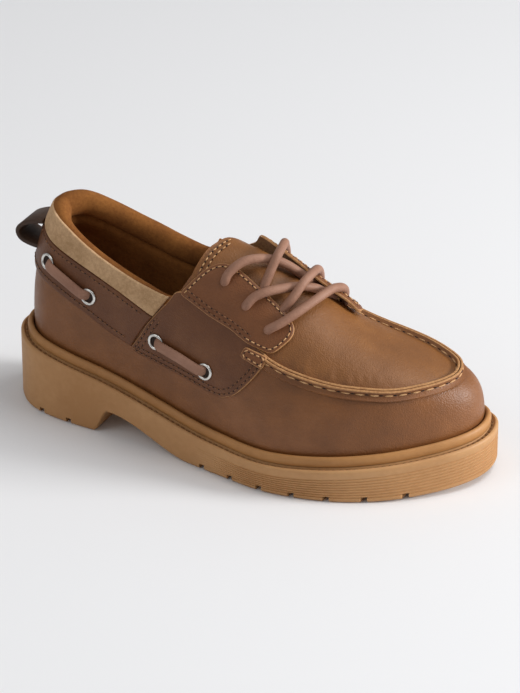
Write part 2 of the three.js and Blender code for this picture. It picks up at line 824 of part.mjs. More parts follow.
// Eyelets of the side lace, on each side
const eyeletPlaces = [
  { turn: 32.7, t: 0.285 },
  { turn: 52.9, t: 0.214 },
  { turn: 73.6, t: 0.182 },
  { turn: 87.1, t: 0.2 },
];

// Place on the last at a height off its surface
function raised(side, turn, t, height) {
  const normal = surfaceNormal(side, turn, t);
  return { point: lastPoint(side, turn, t).addScaledVector(normal, height), normal };
}

// Eyelet, or with a margin the room that it needs
function makeEyelet(side, place, margin = 0) {
  const low = gap + overlayThickness + gap - margin;
  const { point, normal } = raised(side, place.turn, place.t, low);
  const hole = eyeletHole - margin;
  const outer = eyeletRadius + margin;
  const top = eyeletThickness + 2 * margin;
  const profile = [
    [hole, 0], [outer, 0], [outer - 0.3, 0.7 * top],
    [(hole + outer) / 2, top], [hole, 0.6 * top], [hole, 0],
  ].map(([radius, height]) => new THREE.Vector2(radius, height));
  const geometry = new THREE.LatheGeometry(profile, 9);
  geometry.applyQuaternion(
    new THREE.Quaternion().setFromUnitVectors(new THREE.Vector3(0, 1, 0), normal));
  geometry.translate(point.x, point.y, point.z);
  return solidOfGeometry(geometry);
}

function makeSideLace(side, from, to, clearance) {
  const rest = 2 * gap + overlayThickness + eyeletThickness + gap + laceRadius;
  const places = [];
  const steps = 4;
  for (let i = 0; i <= steps; i += 1) {
    const share = i / steps;
    const turn = from.turn + (to.turn - from.turn) * share;
    const t = from.t + (to.t - from.t) * share;
    places.push(raised(side, turn, t, rest));
  }
  const dip = (place) => raised(side, place.turn, place.t, rest - laceRadius - eyeletThickness / 2);
  const path = [dip(from), ...places.slice(1, -1), dip(to)];
  return sweep(withTravel(path), roundSection(laceRadius, 6))
    .subtract(clearance)
    .subtract(makeEyelet(side, from, gap))
    .subtract(makeEyelet(side, to, gap));
}

// Reach of the throat's free edges: they stand off the tongue more on the medial side
function liftedSkin(side) {
  const middle = 0.04 * ballWidth;
  return (point) => {
    const across = side * (point.y - middle);
    const free = 1 - ease(0.12 * ballWidth, 0.3 * ballWidth, across);
    const front = ease(0.4 * shoeLength, 0.5 * shoeLength, point.x);
    return (side > 0 ? edgeLift : 0.4) * free * front;
  };
}

// Holes of the front lace: turn and share of the hoop on each side, from the top down
const laceHoles = [
  { turn: { lateral: 87, medial: 92 }, t: { lateral: 0.58, medial: 0.5 } },
  { turn: { lateral: 93.2, medial: 100 }, t: { lateral: 0.54, medial: 0.58 } },
  { turn: { lateral: 99.5, medial: 107.5 }, t: { lateral: 0.53, medial: 0.64 } },
];
// Each run of the lace goes from a lateral hole to a medial one
const laceRuns = [
  { lateral: 2, medial: 2 },
  { lateral: 1, medial: 2 },
  { lateral: 2, medial: 1 },
  { lateral: 0, medial: 1 },
  { lateral: 1, medial: 0 },
];

// One run of the front lace over the tongue and over the medial side's raised edge
function makeRun(run) {
  const rest = 3 * gap + overlayThickness + laceRadius;
  const from = { turn: laceHoles[run.lateral].turn.lateral, t: laceHoles[run.lateral].t.lateral };
  const to = { turn: laceHoles[run.medial].turn.medial, t: laceHoles[run.medial].t.medial };
  const middle = (from.turn + to.turn) / 2;
  const rise = liftedSkin(1);
  const place = (side, turn, t, dip) => {
    const point = lastPoint(side, turn, t);
    const climb = ease(-0.1 * ballWidth, 0.12 * ballWidth, point.y) * rise(point);
    return raised(side, turn, t, rest + climb - dip);
  };
  const mix = (a, b, share) => a + (b - a) * share;
  const path = [place(-1, from.turn, from.t, laceRadius)];
  for (const share of [0.25, 0.6, 1]) {
    path.push(place(-1, mix(from.turn, middle, share), mix(from.t, 1, share), 0));
  }
  for (const share of [0.7, 0.4, 0.2]) {
    path.push(place(1, mix(to.turn, middle, share), mix(to.t, 1, share), 0));
  }
  path.push(place(1, to.turn, to.t, laceRadius));
  return sweep(withTravel(path), roundSection(laceRadius, 5));
}

function makeFrontLace(clearances) {
  const joined = laceRuns.map(makeRun).reduce((whole, run) => whole.add(run));
  return clearances.reduce((lace, room) => lace.subtract(room), joined);
}

const topCut = toplineCutter(0);
const shell = skin(-wallThickness, 0).add(makeSeam()).subtract(topCut);
const upper = shell.subtract(throatPrism(0));
const tongue = skin(-wallThickness, 0).subtract(topCut).intersect(throatPrism(-gap));
const overlayLayer = skin(gap, gap + overlayThickness);
const trimmedLayer = overlayLayer.subtract(topCut);
const secondLayer = skin(2 * gap + overlayThickness, 2 * gap + 2 * overlayThickness);
const farOut = ballWidth;
const overlayRoom = skin(-4 * wallThickness, 2 * gap + overlayThickness);

const pieces = [
  meshOf('sole', makeSole(), gumRubber),
  meshOf('welt', ringOf(weltProfile), gumRubber),
  meshOf('insole', makeInsole(), lining),
  meshOf('upper', upper, leather),
  meshOf('tongue', tongue, leather),
  meshOf('collar_roll', makeRoll(), lining),
  meshOf('collar_band',
    trimmedLayer.intersect(sidePrism(placedOutline(bandOutline, -1), -farOut, farOut, collarTilt)),
    tanCloth),
  meshOf('rear_strip',
    trimmedLayer.intersect(sidePrism(placedOutline(stripOutline, -1), -farOut, farOut, collarTilt)),
    darkLeather),
  meshOf('pull_loop', makeLoop(overlayRoom), darkLeather),
];
const tabRoom = skin(0, 3 * gap + 2 * overlayThickness);
const laceRooms = [overlayRoom];
for (const [side, word] of [[-1, 'lateral'], [1, 'medial']]) {
  const lifted = liftedSkin(side);
  const stayLayer = skin(gap, gap + overlayThickness, lifted).subtract(topCut);
  const stayRoom = skin(0, 2 * gap + overlayThickness, lifted);
  laceRooms.push(
    sideOverlay(stayRoom, eyestayOutline, side, stayReach - gap, farOut),
    sideOverlay(tabRoom, tabOutline, side, sideReach - gap, farOut),
  );
  pieces.push(
    meshOf(`saddle_${word}`, sideOverlay(trimmedLayer, saddleOutline, side, sideReach, farOut), darkLeather),
    meshOf(`eyestay_${word}`, sideOverlay(stayLayer, eyestayOutline, side, stayReach, farOut), leather),
    meshOf(`tab_${word}`, sideOverlay(secondLayer, tabOutline, side, sideReach, farOut), leather),
  );
  eyeletPlaces.forEach((place, i) => {
    pieces.push(meshOf(`eyelet_${word}_${i + 1}`, makeEyelet(side, place), nickel));
  });
  const [first, second, third, fourth] = eyeletPlaces;
  for (const [place, from, to] of [['rear', first, second], ['front', third, fourth]]) {
    pieces.push(meshOf(
      `side_lace_${place}_${word}`, makeSideLace(side, from, to, overlayRoom), cordLeather));
  }
}
pieces.push(meshOf('front_lace', makeFrontLace(laceRooms), cordLeather));

const shoe = new THREE.Group();
shoe.add(...pieces);

// The origin lies on the floor under the middle of the shoe
const room = new THREE.Box3().setFromObject(shoe);
const centre = room.getCenter(new THREE.Vector3());
shoe.position.set(-centre.x, -centre.y, -room.min.z);

export default shoe;
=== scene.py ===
import logging
import math
from collections.abc import Callable, Sequence
from dataclasses import dataclass, field
from enum import Enum
from functools import partial

import bmesh
import bpy
import numpy as np
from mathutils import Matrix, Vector
from mathutils.bvhtree import BVHTree
from mathutils.geometry import delaunay_2d_cdt
from mathutils.noise import noise


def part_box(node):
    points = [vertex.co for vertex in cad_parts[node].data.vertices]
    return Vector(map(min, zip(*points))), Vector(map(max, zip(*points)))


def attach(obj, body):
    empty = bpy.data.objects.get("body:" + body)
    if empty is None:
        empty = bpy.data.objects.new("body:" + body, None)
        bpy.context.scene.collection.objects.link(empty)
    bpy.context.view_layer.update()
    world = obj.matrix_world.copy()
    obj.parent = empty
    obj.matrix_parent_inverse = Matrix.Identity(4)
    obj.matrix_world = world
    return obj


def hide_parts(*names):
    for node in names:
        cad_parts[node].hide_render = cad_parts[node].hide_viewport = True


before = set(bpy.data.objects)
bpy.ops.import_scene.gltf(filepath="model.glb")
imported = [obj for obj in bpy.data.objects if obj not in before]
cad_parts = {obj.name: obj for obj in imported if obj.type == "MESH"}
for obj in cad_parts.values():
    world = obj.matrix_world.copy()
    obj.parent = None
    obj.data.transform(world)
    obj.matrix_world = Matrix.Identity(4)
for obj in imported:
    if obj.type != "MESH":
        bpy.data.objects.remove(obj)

log = logging.getLogger("boat_shoe")

Array = np.ndarray
Outline = Sequence[tuple[float, float]]
# A height or an inset at places along the shoe
Curve = Callable[[Array], Array]
Socket = bpy.types.NodeSocket

LATERAL, MEDIAL = -1, 1
SIDE_WORDS = {LATERAL: "lateral", MEDIAL: "medial"}
MM = 0.001


# Small mathematics


@dataclass(frozen=True)
class Table:
    """Smooth columns of numbers between the rows of a short table."""

    names: tuple[str, ...]
    rows: tuple[tuple[float, ...], ...]

    def value(self, name: str, at: Array | float) -> Array:
        """Reads one column between its rows.

        Args:
            name: The column.
            at: Places along the first column.

        Returns:
            The smooth value at each place.
        """
        data = np.array(self.rows, dtype=float)
        places, column = data[:, 0], data[:, self.names.index(name) + 1]
        count = len(places)
        index = np.arange(count)
        after, before = np.minimum(index + 1, count - 1), np.maximum(index - 1, 0)
        slopes = (column[after] - column[before]) / (places[after] - places[before])
        clipped = np.clip(np.asarray(at, dtype=float), places[0], places[-1])
        row = np.clip(np.searchsorted(places, clipped, side="left") - 1, 0, count - 2)
        span = places[row + 1] - places[row]
        u = (clipped - places[row]) / span
        value = column[row] * (1 + 2 * u) * (1 - u) ** 2 + column[row + 1] * u * u * (3 - 2 * u)
        return value + span * (slopes[row] * u * (1 - u) ** 2 - slopes[row + 1] * u * u * (1 - u))


def ease(low: float, high: float, value: Array | float) -> Array:
    """Smooth step from 0 at low to 1 at high."""
    u = np.clip((np.asarray(value, dtype=float) - low) / (high - low), 0, 1)
    return u * u * (3 - 2 * u)


def unit(vectors: Array) -> Array:
    """Vectors brought to length 1."""
    length = np.linalg.norm(vectors, axis=-1, keepdims=True)
    return vectors / np.maximum(length, 1e-12)


def turned(angle: Array | float) -> tuple[Array, Array]:
    """Tells the shoe's two sides apart by round angles.

    Args:
        angle: Round angles in degrees.

    Returns:
        True where an angle lies on the lateral side, and its turn from the heel tip, 0 to 180.
    """
    whole = np.mod(np.asarray(angle, dtype=float), 360)
    return whole <= 180, np.where(whole <= 180, whole, 360 - whole)


def smooth_path(points: Sequence[Sequence[float]], step: float) -> Array:
    """Fills a curve in between given points.

    Args:
        points: The places that the curve goes through.
        step: Distance between the points of the result.

    Returns:
        Evenly spaced points on a smooth curve.
    """
    knots = np.array(points, dtype=float)
    padded = np.vstack([2 * knots[0] - knots[1], knots, 2 * knots[-1] - knots[-2]])
    parts = []
    for i in range(1, len(padded) - 2):
        p0, p1, p2, p3 = padded[i - 1:i + 3]
        u = np.linspace(0, 1, 24, endpoint=False)[:, None]
        parts.append(0.5 * (2 * p1 + (p2 - p0) * u + (2 * p0 - 5 * p1 + 4 * p2 - p3) * u * u
                            + (3 * p1 - p0 - 3 * p2 + p3) * u ** 3))
    return even_steps(np.vstack([*parts, knots[-1:]]), step)


def even_steps(points: Array, step: float, closed: bool = False) -> Array:
    """Places points at even distances along a polyline.

    Args:
        points: The polyline.
        step: Distance between the new points.
        closed: True where the last point joins the first.

    Returns:
        The new points; a closed line doesn't repeat its first point.
    """
    line = np.vstack([points, points[:1]]) if closed else points
    lengths = np.concatenate([[0], np.cumsum(np.linalg.norm(np.diff(line, axis=0), axis=1))])
    count = max(int(round(lengths[-1] / step)), 2)
    places = np.linspace(0, lengths[-1], count + 1)
    if closed:
        places = places[:-1]
    return np.stack([np.interp(places, lengths, line[:, k]) for k in range(line.shape[1])], axis=1)


def rounded(outline: Outline, step: float, passes: int) -> Array:
    """Rounds the corners of a closed outline by averaging neighbours.

    Args:
        outline: Its corners.
        step: Distance between the new points.
        passes: How often it is averaged.

    Returns:
        The rounded outline.
    """
    line = even_steps(np.array(outline, dtype=float), step, closed=True)
    for _ in range(passes):
        line = 0.5 * line + 0.25 * (np.roll(line, 1, axis=0) + np.roll(line, -1, axis=0))
    return line


def inside(points: Array, outline: Array) -> Array:
    """Tells which points lie inside a closed outline.

    Args:
        points: Places.
        outline: The outline.

    Returns:
        True for each point inside.
    """
    x, y = points[:, 0][:, None], points[:, 1][:, None]
    x0, y0 = outline[:, 0][None], outline[:, 1][None]
    x1, y1 = np.roll(outline[:, 0], -1)[None], np.roll(outline[:, 1], -1)[None]
    spans = (y0 > y) != (y1 > y)
    rise = np.where(y1 == y0, 1e-9, y1 - y0)
    crossings = spans & (x < (x1 - x0) * (y - y0) / rise + x0)
    return crossings.sum(axis=1) % 2 == 1


# The shoe's inner form, in millimetres from the heel tip


@dataclass
class Last:
    """The form that every piece of the upper is placed on.

    Places on it are given as a round angle, 0 at the heel tip and 180 at the toe tip by way
    of the lateral side, and a share from 0 at the foot to 1 at the spine.
    """

    length: float = 242.0
    ball_width: float = 92.0
    heel_width: float = 60.0
    heel_seat: float = 36.5
    fore_seat: float = 14.6
    toe_thickening: float = 5.0
    toe_spring: float = 3.5
    heel_block: float = 12.5
    heel_reach: float = 53.5
    breast_lean: float = 7.5
    arch_end: float = 108.0
    feather_inset: float = 7.0
    heel_crown: float = 130.0
    instep_height: float = 99.0
    toe_box_height: float = 63.0
    collar_height: float = 104.5
    collar_dip: float = 82.3
    collar_tilt: float = 0.11
    medial_stretch: float = 1.26
    edge_lift: float = 2.8
    corner_lift: float = 2.4
    clearance: float = 0.3
    easing: tuple[float, ...] = (-4.5, -3.0, -1.5, 0.0, 1.5, 3.0, 4.5)
    rows: int = 90
    vertices: Array = field(init=False)
    normals: Array = field(init=False)
    triangles: Array = field(init=False)
    tree: BVHTree = field(init=False)
    stay_trees: dict[int, BVHTree] = field(init=False)

    outline = Table(("lateral", "medial", "ball"), (
        (0, 0, 0, 0), (15, 0.21, 0.21, 0), (30, 0.395, 0.395, 0), (45, 0.478, 0.478, 0),
        (60, 0.505, 0.487, 0), (75, 0.362, 0.311, 1), (90, 0.428, 0.353, 1),
        (105, 0.477, 0.471, 1), (120, 0.424, 0.533, 1), (135, 0.297, 0.53, 1),
        (150, 0.125, 0.475, 1), (165, -0.045, 0.378, 1), (180, -0.21, 0.21, 1)))
    top_edge = Table(("heel", "toe"), (
        (0, 1, 0), (0.12, 0.82, 0), (0.25, 0.58, 0), (0.42, 0.16, 0), (0.55, 0.01, 0),
        (0.65, 0, 0.02), (0.8, 0, 0.36), (1, 0, 1)))
    spine_line = Table(("spine",), (
        (0, 0.17), (0.12, 0.2), (0.3, 0.33), (0.5, 0.52), (0.7, 0.69), (0.85, 0.765), (1, 0.8)))
    ridge = Table(("across", "heel", "instep", "toe"), (
        (0.15, 0.0, 1, 0, 0), (0.3, 0.01, 0.72, 0.31, 0), (0.42, 0.025, 0.05, 1.0, 0),
        (0.53, 0.04, 0, 1, 0), (0.63, 0.055, 0, 0.6, 0.39), (0.72, 0.075, 0, 0.18, 0.84),
        (0.8, 0.1, 0, 0, 1.0)))
    lateral_hoops = Table(("lift", "reach", "bulge"), (
        (0, 0.62, 0.25, 0.03), (0.15, 0.7, 0.3, 0.045), (0.35, 0.85, 0.5, 0.06),
        (0.52, 0.72, 0.35, 0.05), (0.65, 0.62, 0.5, 0.03), (0.82, 0.75, 0.7, 0.02),
        (1, 0.78, 0.7, 0.025)))
    medial_hoops = Table(("lift", "reach", "bulge"), (
        (0, 0.62, 0.25, 0.03), (0.15, 0.7, 0.3, 0.045), (0.35, 0.85, 0.5, 0.03),
        (0.52, 0.8, 0.4, 0.02), (0.65, 0.7, 0.5, 0.02), (0.82, 0.74, 0.6, 0.02),
        (1, 0.78, 0.7, 0.025)))
    # Topline in side view: share of the length, share of the rise from the collar's dip
    topline = (
        (-0.05, 1), (0.09, 1), (0.128, 0.907), (0.151, 0.79), (0.193, 0.6), (0.231, 0.44),
        (0.271, 0.31), (0.309, 0.19), (0.345, 0.1), (0.38, 0.01), (0.4, 0.02), (0.412, 0.176),
        (0.42, 0.555), (0.427, 0.766), (0.433, 0.89), (0.442, 1.0), (0.45, 2.5))

    def __post_init__(self) -> None:
        """Builds the fine reference surface and its search trees."""
        widths = {0: self.heel_width, 1: self.ball_width}
        self.edge_table = Table(("lateral", "medial"), tuple(
            (row[0], -row[1] * widths[row[3]], row[2] * widths[row[3]]) for row in self.outline.rows))
        angles = np.arange(360.0)
        shares = np.linspace(0, 1, self.rows + 1)
        grid = np.stack(np.meshgrid(angles, shares, indexing="ij"), axis=-1).reshape(-1, 2)
        points = self.points(grid)
        index = np.arange(len(points)).reshape(360, self.rows + 1)
        for i in range(181, 360):
            index[i, self.rows] = index[360 - i, self.rows]
        ahead = np.roll(index, -1, axis=0)
        a, b, c, d = index[:, :-1], ahead[:, :-1], ahead[:, 1:], index[:, 1:]
        triangles = np.vstack([np.stack(corners, axis=-1).reshape(-1, 3)
                               for corners in ((a, b, c), (a, c, d))])
        cross = np.cross(points[triangles[:, 1]] - points[triangles[:, 0]],
                         points[triangles[:, 2]] - points[triangles[:, 0]])
        keep = np.linalg.norm(cross, axis=1) > 1e-9
        self.vertices, self.triangles = points, triangles[keep]
        self.normals = np.zeros_like(points)
        for k in range(3):
            np.add.at(self.normals, self.triangles[:, k], cross[keep])
        self.normals = unit(self.normals)
        self.tree = self.tree_of(self.vertices)
        self.stay_trees = {side: self.tree_of(self.lifted(side)) for side in SIDE_WORDS}

    def tree_of(self, points: Array) -> BVHTree:
        """Search tree of the reference surface with its points moved."""
        return BVHTree.FromPolygons(points.tolist(), self.triangles.tolist(), all_triangles=True)

    def lift(self, points: Array, side: int) -> Array:
        """How far the throat's free edge stands off the tongue at each point.

        Args:
            points: Points near the last.
            side: The side of the shoe.

        Returns:
            Distances in millimetres.
        """
        across = side * (points[:, 1] - 0.04 * self.ball_width)
        free = 1 - ease(0.12 * self.ball_width, 0.3 * self.ball_width, across)
        front = ease(0.38 * self.length, 0.46 * self.length, points[:, 0])
        rear = 1 - ease(0.47 * self.length, 0.555 * self.length, points[:, 0])
        sinking = 1 - ease(0.67 * self.length, 0.755 * self.length, points[:, 0])
        gap = (self.edge_lift + self.corner_lift * rear) * sinking
        return (gap if side > 0 else 0.4) * free * front

    def lifted(self, side: int) -> Array:
        """The reference surface with the throat's edge on one side raised."""
        return self.vertices + self.normals * self.lift(self.vertices, side)[:, None]

    def top_height(self, x: Array) -> Array:
        """Height of the sole's top edge at places along the shoe."""
        at = np.asarray(x) / self.length
        return (self.fore_seat + (self.heel_seat - self.fore_seat) * self.top_edge.value("heel", at)
                + (self.toe_thickening + self.toe_spring) * self.top_edge.value("toe", at))

    def bottom_height(self, x: Array) -> Array:
        """Height of the sole's foot: heel block, arch and toe spring.

        Args:
            x: Places along the shoe.

        Returns:
            Heights.
        """
        breast_end = self.heel_reach + self.breast_lean
        breast = ease(self.heel_reach - 0.5, breast_end, x)
        arch = self.heel_block * breast * (1 - ease(breast_end, self.arch_end, x))
        start = 0.76 * self.length
        spring = np.maximum(0, (np.asarray(x) - start) / (self.length - start))
        return arch + self.toe_spring * spring ** 2

    def edge(self, angle: Array, inset: Array | float) -> Array:
        """Points of the sole's outline, moved inwards.

        Args:
            angle: Round angles in degrees.
            inset: Distances inwards.

        Returns:
            Places in plan.
        """
        lateral, turn = turned(angle)
        side = np.where(lateral, LATERAL, MEDIAL)
        inset = np.broadcast_to(np.asarray(inset, dtype=float), turn.shape)

        def plain(at: Array) -> Array:
            """Places of the outline itself."""
            x = self.length * (1 - np.cos(np.radians(at))) / 2
            y = np.where(lateral, self.edge_table.value("lateral", at),
                         self.edge_table.value("medial", at))
            return np.stack([x, y], axis=-1)

        step = 1.5
        here = plain(turn)
        run = unit(plain(np.minimum(turn + step, 180)) - plain(np.maximum(turn - step, 0)))
        inwards = np.stack([side * run[..., 1], -side * run[..., 0]], axis=-1)
        inwards[turn <= 0] = (1, 0)
        inwards[turn >= 180] = (-1, 0)
        return here + inwards * inset[..., None]

    def spine(self, along: Array) -> Array:
        """Points of the line along the shoe's top.

        Args:
            along: Shares of the way from heel to toe.

        Returns:
            Points of the spine.
        """
        at = self.spine_line.value("spine", along)
        height = (self.heel_crown * self.ridge.value("heel", at)
                  + self.instep_height * self.ridge.value("instep", at)
                  + self.toe_box_height * self.ridge.value("toe", at))
        return np.stack([self.length * at, self.ball_width * self.ridge.value("across", at),
                         height], axis=-1)

    def points(self, places: Array) -> Array:
        """Points of the last at round angles and shares.

        Args:
            places: Rows of an angle in degrees and a share from foot to spine.

        Returns:
            Points in millimetres.
        """
        angle, share = places[..., 0], places[..., 1][..., None]
        lateral, turn = turned(angle)
        along = (1 - np.cos(np.radians(turn))) / 2
        foot = self.edge(angle, self.feather_inset)
        low = np.concatenate([foot, (self.top_height(foot[..., 0]) + self.clearance)[..., None]], -1)
        high = self.spine(along)
        step = 0.01
        ahead, behind = self.spine(np.minimum(along + step, 1)), self.spine(np.maximum(along - step, 0))
        slope = (ahead[..., 2] - behind[..., 2]) / (ahead[..., 0] - behind[..., 0])

        def handle(name: str) -> Array:
            """One column of the hoops' handles, from the table of each side."""
            return np.where(lateral, self.lateral_hoops.value(name, along),
                            self.medial_hoops.value(name, along))

        out = unit(self.edge(angle, 0) - foot)
        wall = np.concatenate([
            low[..., :2] + out * (self.ball_width * handle("bulge"))[..., None],
            (low[..., 2] + (high[..., 2] - low[..., 2]) * handle("lift"))[..., None]], -1)
        roof = high + (low - high) * handle("reach")[..., None]
        roof[..., 2] = high[..., 2] + slope * (roof[..., 0] - high[..., 0])
        rest = 1 - share
        return rest ** 3 * low + 3 * rest ** 2 * share * wall + 3 * rest * share ** 2 * roof \
            + share ** 3 * high

    def surface(self, places: Array, offset: Array | float = 0.0) -> Array:
        """Points at a distance off the last, at round angles and shares."""
        return self.points(places) + self.normal(places) * np.asarray(offset)[..., None]

    def normal(self, places: Array) -> Array:
        """Outward directions at round angles and shares.

        Args:
            places: Rows of an angle and a share.

        Returns:
            Directions of length 1.
        """
        turn_step, share_step = np.array([0.6, 0.0]), np.array([0.0, 0.01])
        around = self.points(places + turn_step) - self.points(places - turn_step)
        above = places + share_step
        above[..., 1] = np.minimum(above[..., 1], 1)
        below = places - share_step
        below[..., 1] = np.maximum(below[..., 1], 0)
        return unit(np.cross(around, self.points(above) - self.points(below)))

    def rim_height(self, x: Array) -> Array:
        """Height of the collar's edge in side view.

        Args:
            x: Places along the shoe.

        Returns:
            Heights.
        """
        places = [row[0] * self.length for row in self.topline]
        rise = self.collar_height - self.collar_dip
        rows = [row[1] for row in self.topline]
        return self.collar_dip + rise * self.eased(x, places, rows)

    def eased(self, x: Array, places: Sequence[float], values: Sequence[float]) -> Array:
        """Values of a line at places along the shoe, with its corners softened."""
        return sum(np.interp(np.asarray(x) + off, places, values) for off in self.easing) / len(self.easing)

    def share_at(self, angle: Array, height: Curve, most: float = 0.8) -> Array:
        """Share of each hoop where it meets a line of the side view.

        Args:
            angle: Round angles in degrees.
            height: Gives the line's height at a place along the shoe.
            most: Highest share that is looked at.

        Returns:
            A share for each angle.
        """
        low, high = np.zeros_like(angle), np.full_like(angle, most)
        for _ in range(24):
            middle = (low + high) / 2
            point = self.points(np.stack([angle, middle], axis=-1))
            over = point[..., 2] > height(point[..., 0]) + self.collar_tilt * point[..., 1]
            high, low = np.where(over, middle, high), np.where(over, low, middle)
        return (low + high) / 2

    def hit(self, tree: BVHTree, origins: Array, direction: Sequence[float]) -> tuple[Array, Array]:
        """Casts rays onto the surface.

        Args:
            tree: The search tree.
            origins: Where each ray starts.
            direction: The rays' direction.

        Returns:
            Points and smooth outward normals.
        """
        aim = Vector(direction).normalized()
        points, faces = [], []
        for origin in origins:
            spot, _, face, _ = tree.ray_cast(Vector(origin), aim)
            if spot is None:
                spot, _, face, _ = tree.find_nearest(Vector(origin) + aim * 200)
            points.append(spot[:])
            faces.append(face)
        return np.array(points), self.smooth_normals(np.array(points), np.array(faces))

    def nearest(self, tree: BVHTree, points: Array) -> tuple[Array, Array]:
        """Nearest points of the surface, and their normals.

        Args:
            tree: The search tree.
            points: Points.

        Returns:
            Points of the surface and their outward directions.
        """
        found = [tree.find_nearest(Vector(point)) for point in points]
        spots = np.array([spot[:] for spot, _, _, _ in found])
        return spots, self.smooth_normals(spots, np.array([face for _, _, face, _ in found]))

    def smooth_normals(self, points: Array, faces: Array) -> Array:
        """Normals blended between the corners of the triangles that hold the points.

        Args:
            points: Points of the surface.
            faces: The triangle of each.

        Returns:
            Directions of length 1.
        """
        corners = self.triangles[faces]
        a, b, c = (self.vertices[corners[:, k]] for k in range(3))
        whole = np.linalg.norm(np.cross(b - a, c - a), axis=1)
        parts = [np.linalg.norm(np.cross(q - points, r - points), axis=1) / np.maximum(whole, 1e-9)
                 for q, r in ((b, c), (c, a), (a, b))]
        return unit(sum(self.normals[corners[:, k]] * parts[k][:, None] for k in range(3)))

    def from_side(self, places: Array, side: int, tree: BVHTree | None = None) -> tuple[Array, Array]:
        """Points and normals at places of the side view, on one side.

        Args:
            places: Places in side view.
            side: The side of the shoe.
            tree: Another surface than the last's.

        Returns:
            Points and their outward directions.
        """
        far = 200.0
        origins = np.stack([places[:, 0], np.full(len(places), side * far),
                            places[:, 1] + self.collar_tilt * side * far], axis=1)
        return self.hit(tree or self.tree, origins, (0, -side, -side * self.collar_tilt))

    def from_top(self, places: Array) -> tuple[Array, Array]:
        """Points and normals straight under places of the plan."""
        origins = np.column_stack([places, np.full(len(places), 300.0)])
        return self.hit(self.tree, origins, (0, 0, -1))

    def to_side(self, points: Array) -> Array:
        """Places of points in the side view."""
        return np.stack([points[:, 0], points[:, 2] - self.collar_tilt * points[:, 1]], axis=1)


# Meshes


@dataclass
class Workbench:
    """Turns millimetres from the heel tip into pieces in the frame, and puts them there."""

    last: Last
    origin: Array = field(init=False)

    def __post_init__(self) -> None:
        """Finds the heel tip in the frame from the sole's own box."""
        low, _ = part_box("sole")
        span = self.last.edge(np.linspace(0, 360, 721), 0)
        self.origin = np.array([low[0] / MM, low[1] / MM - span[:, 1].min(), 0.0])

    def place(self, points: Array) -> Array:
        """Points in metres in the frame."""
        return (np.asarray(points) + self.origin) * MM

    def piece(self, name: str, sheet: "Sheet", finishes: "Sequence[Finish]", slot: str,
              replaces: Sequence[str] = (), sharp: float = 50.0) -> bpy.types.Object:
        """Makes one closed piece of the shoe.

        Args:
            name: The piece's name.
            sheet: Its points, in millimetres from the heel tip, and its faces.
            finishes: Its finishes.
            slot: The record's slot.
            replaces: The frame's nodes that it stands for.
            sharp: Edges steeper than this angle stay crisp.

        Returns:
            The finished object.
        """
        mesh = bpy.data.meshes.new(name)
        faces = [tuple(map(int, face)) for face in sheet.faces]
        mesh.from_pydata(self.place(sheet.points).tolist(), [], faces)
        for finish in finishes:
            mesh.materials.append(finish.material())
        if sheet.marks:
            mesh.polygons.foreach_set("material_index", np.array(sheet.marks, dtype=np.int32))
        whole = bmesh.new()
        whole.from_mesh(mesh)
        bmesh.ops.remove_doubles(whole, verts=whole.verts, dist=2e-6)
        bmesh.ops.recalc_face_normals(whole, faces=whole.faces)
        whole.to_mesh(mesh)
        whole.free()
        mesh.polygons.foreach_set("use_smooth", [True] * len(mesh.polygons))
        mesh.set_sharp_from_angle(angle=math.radians(sharp))
        return self.register(bpy.data.objects.new(name, mesh), slot, replaces)

    def register(self, piece: bpy.types.Object, slot: str,
                 replaces: Sequence[str] = ()) -> bpy.types.Object:
        """Links a piece, lets it ride on the shoe and hides the frame's nodes that it stands for.

        Args:
            piece: The piece.
            slot: The record's slot; not used.
            replaces: The frame's nodes that it stands for.

        Returns:
            The piece.
        """
        if piece.name not in bpy.context.scene.collection.objects:
            bpy.context.scene.collection.objects.link(piece)
        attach(piece, "root")
        if replaces:
            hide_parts(*replaces)
        log.info("%s: %d faces", piece.name, len(piece.data.polygons))
        return piece


@dataclass
class Sheet:
    """Points and faces of a closed piece, with a material number for each face."""

    points: Array
    faces: list[tuple[int, ...]]
    marks: list[int] = field(default_factory=list)


def thick_grid(top: Array, under: Array, round_way: bool = False,
               under_mark: int = 0, rim_mark: int = 0) -> Sheet:
    """Closes two grids of points into one solid sheet.

    Args:
        top: Grid of points of the outer face.
        under: Grid of points of the inner face.
        round_way: True where the first way of the grid joins itself.
        under_mark: Material number of the inner face.
        rim_mark: Material number of the edges.

    Returns:
        The closed sheet.
    """
    across, up = top.shape[:2]
    index = np.arange(across * up).reshape(across, up)
    beneath = index + across * up
    faces: list[tuple[int, ...]] = []
    marks: list[int] = []
    last = across if round_way else across - 1
    for i in range(last):
        j = (i + 1) % across
        for k in range(up - 1):
            faces.append((index[i, k], index[j, k], index[j, k + 1], index[i, k + 1]))
            faces.append((beneath[i, k], beneath[i, k + 1], beneath[j, k + 1], beneath[j, k]))
            marks += [0, under_mark]
        for k in (0, up - 1):
            faces.append((index[i, k], index[j, k], beneath[j, k], beneath[i, k]))
            marks.append(rim_mark)
    if not round_way:
        for i in (0, across - 1):
            for k in range(up - 1):
                faces.append((index[i, k], index[i, k + 1], beneath[i, k + 1], beneath[i, k]))
                marks.append(rim_mark)
    return Sheet(np.vstack([top.reshape(-1, 3), under.reshape(-1, 3)]), faces, marks)


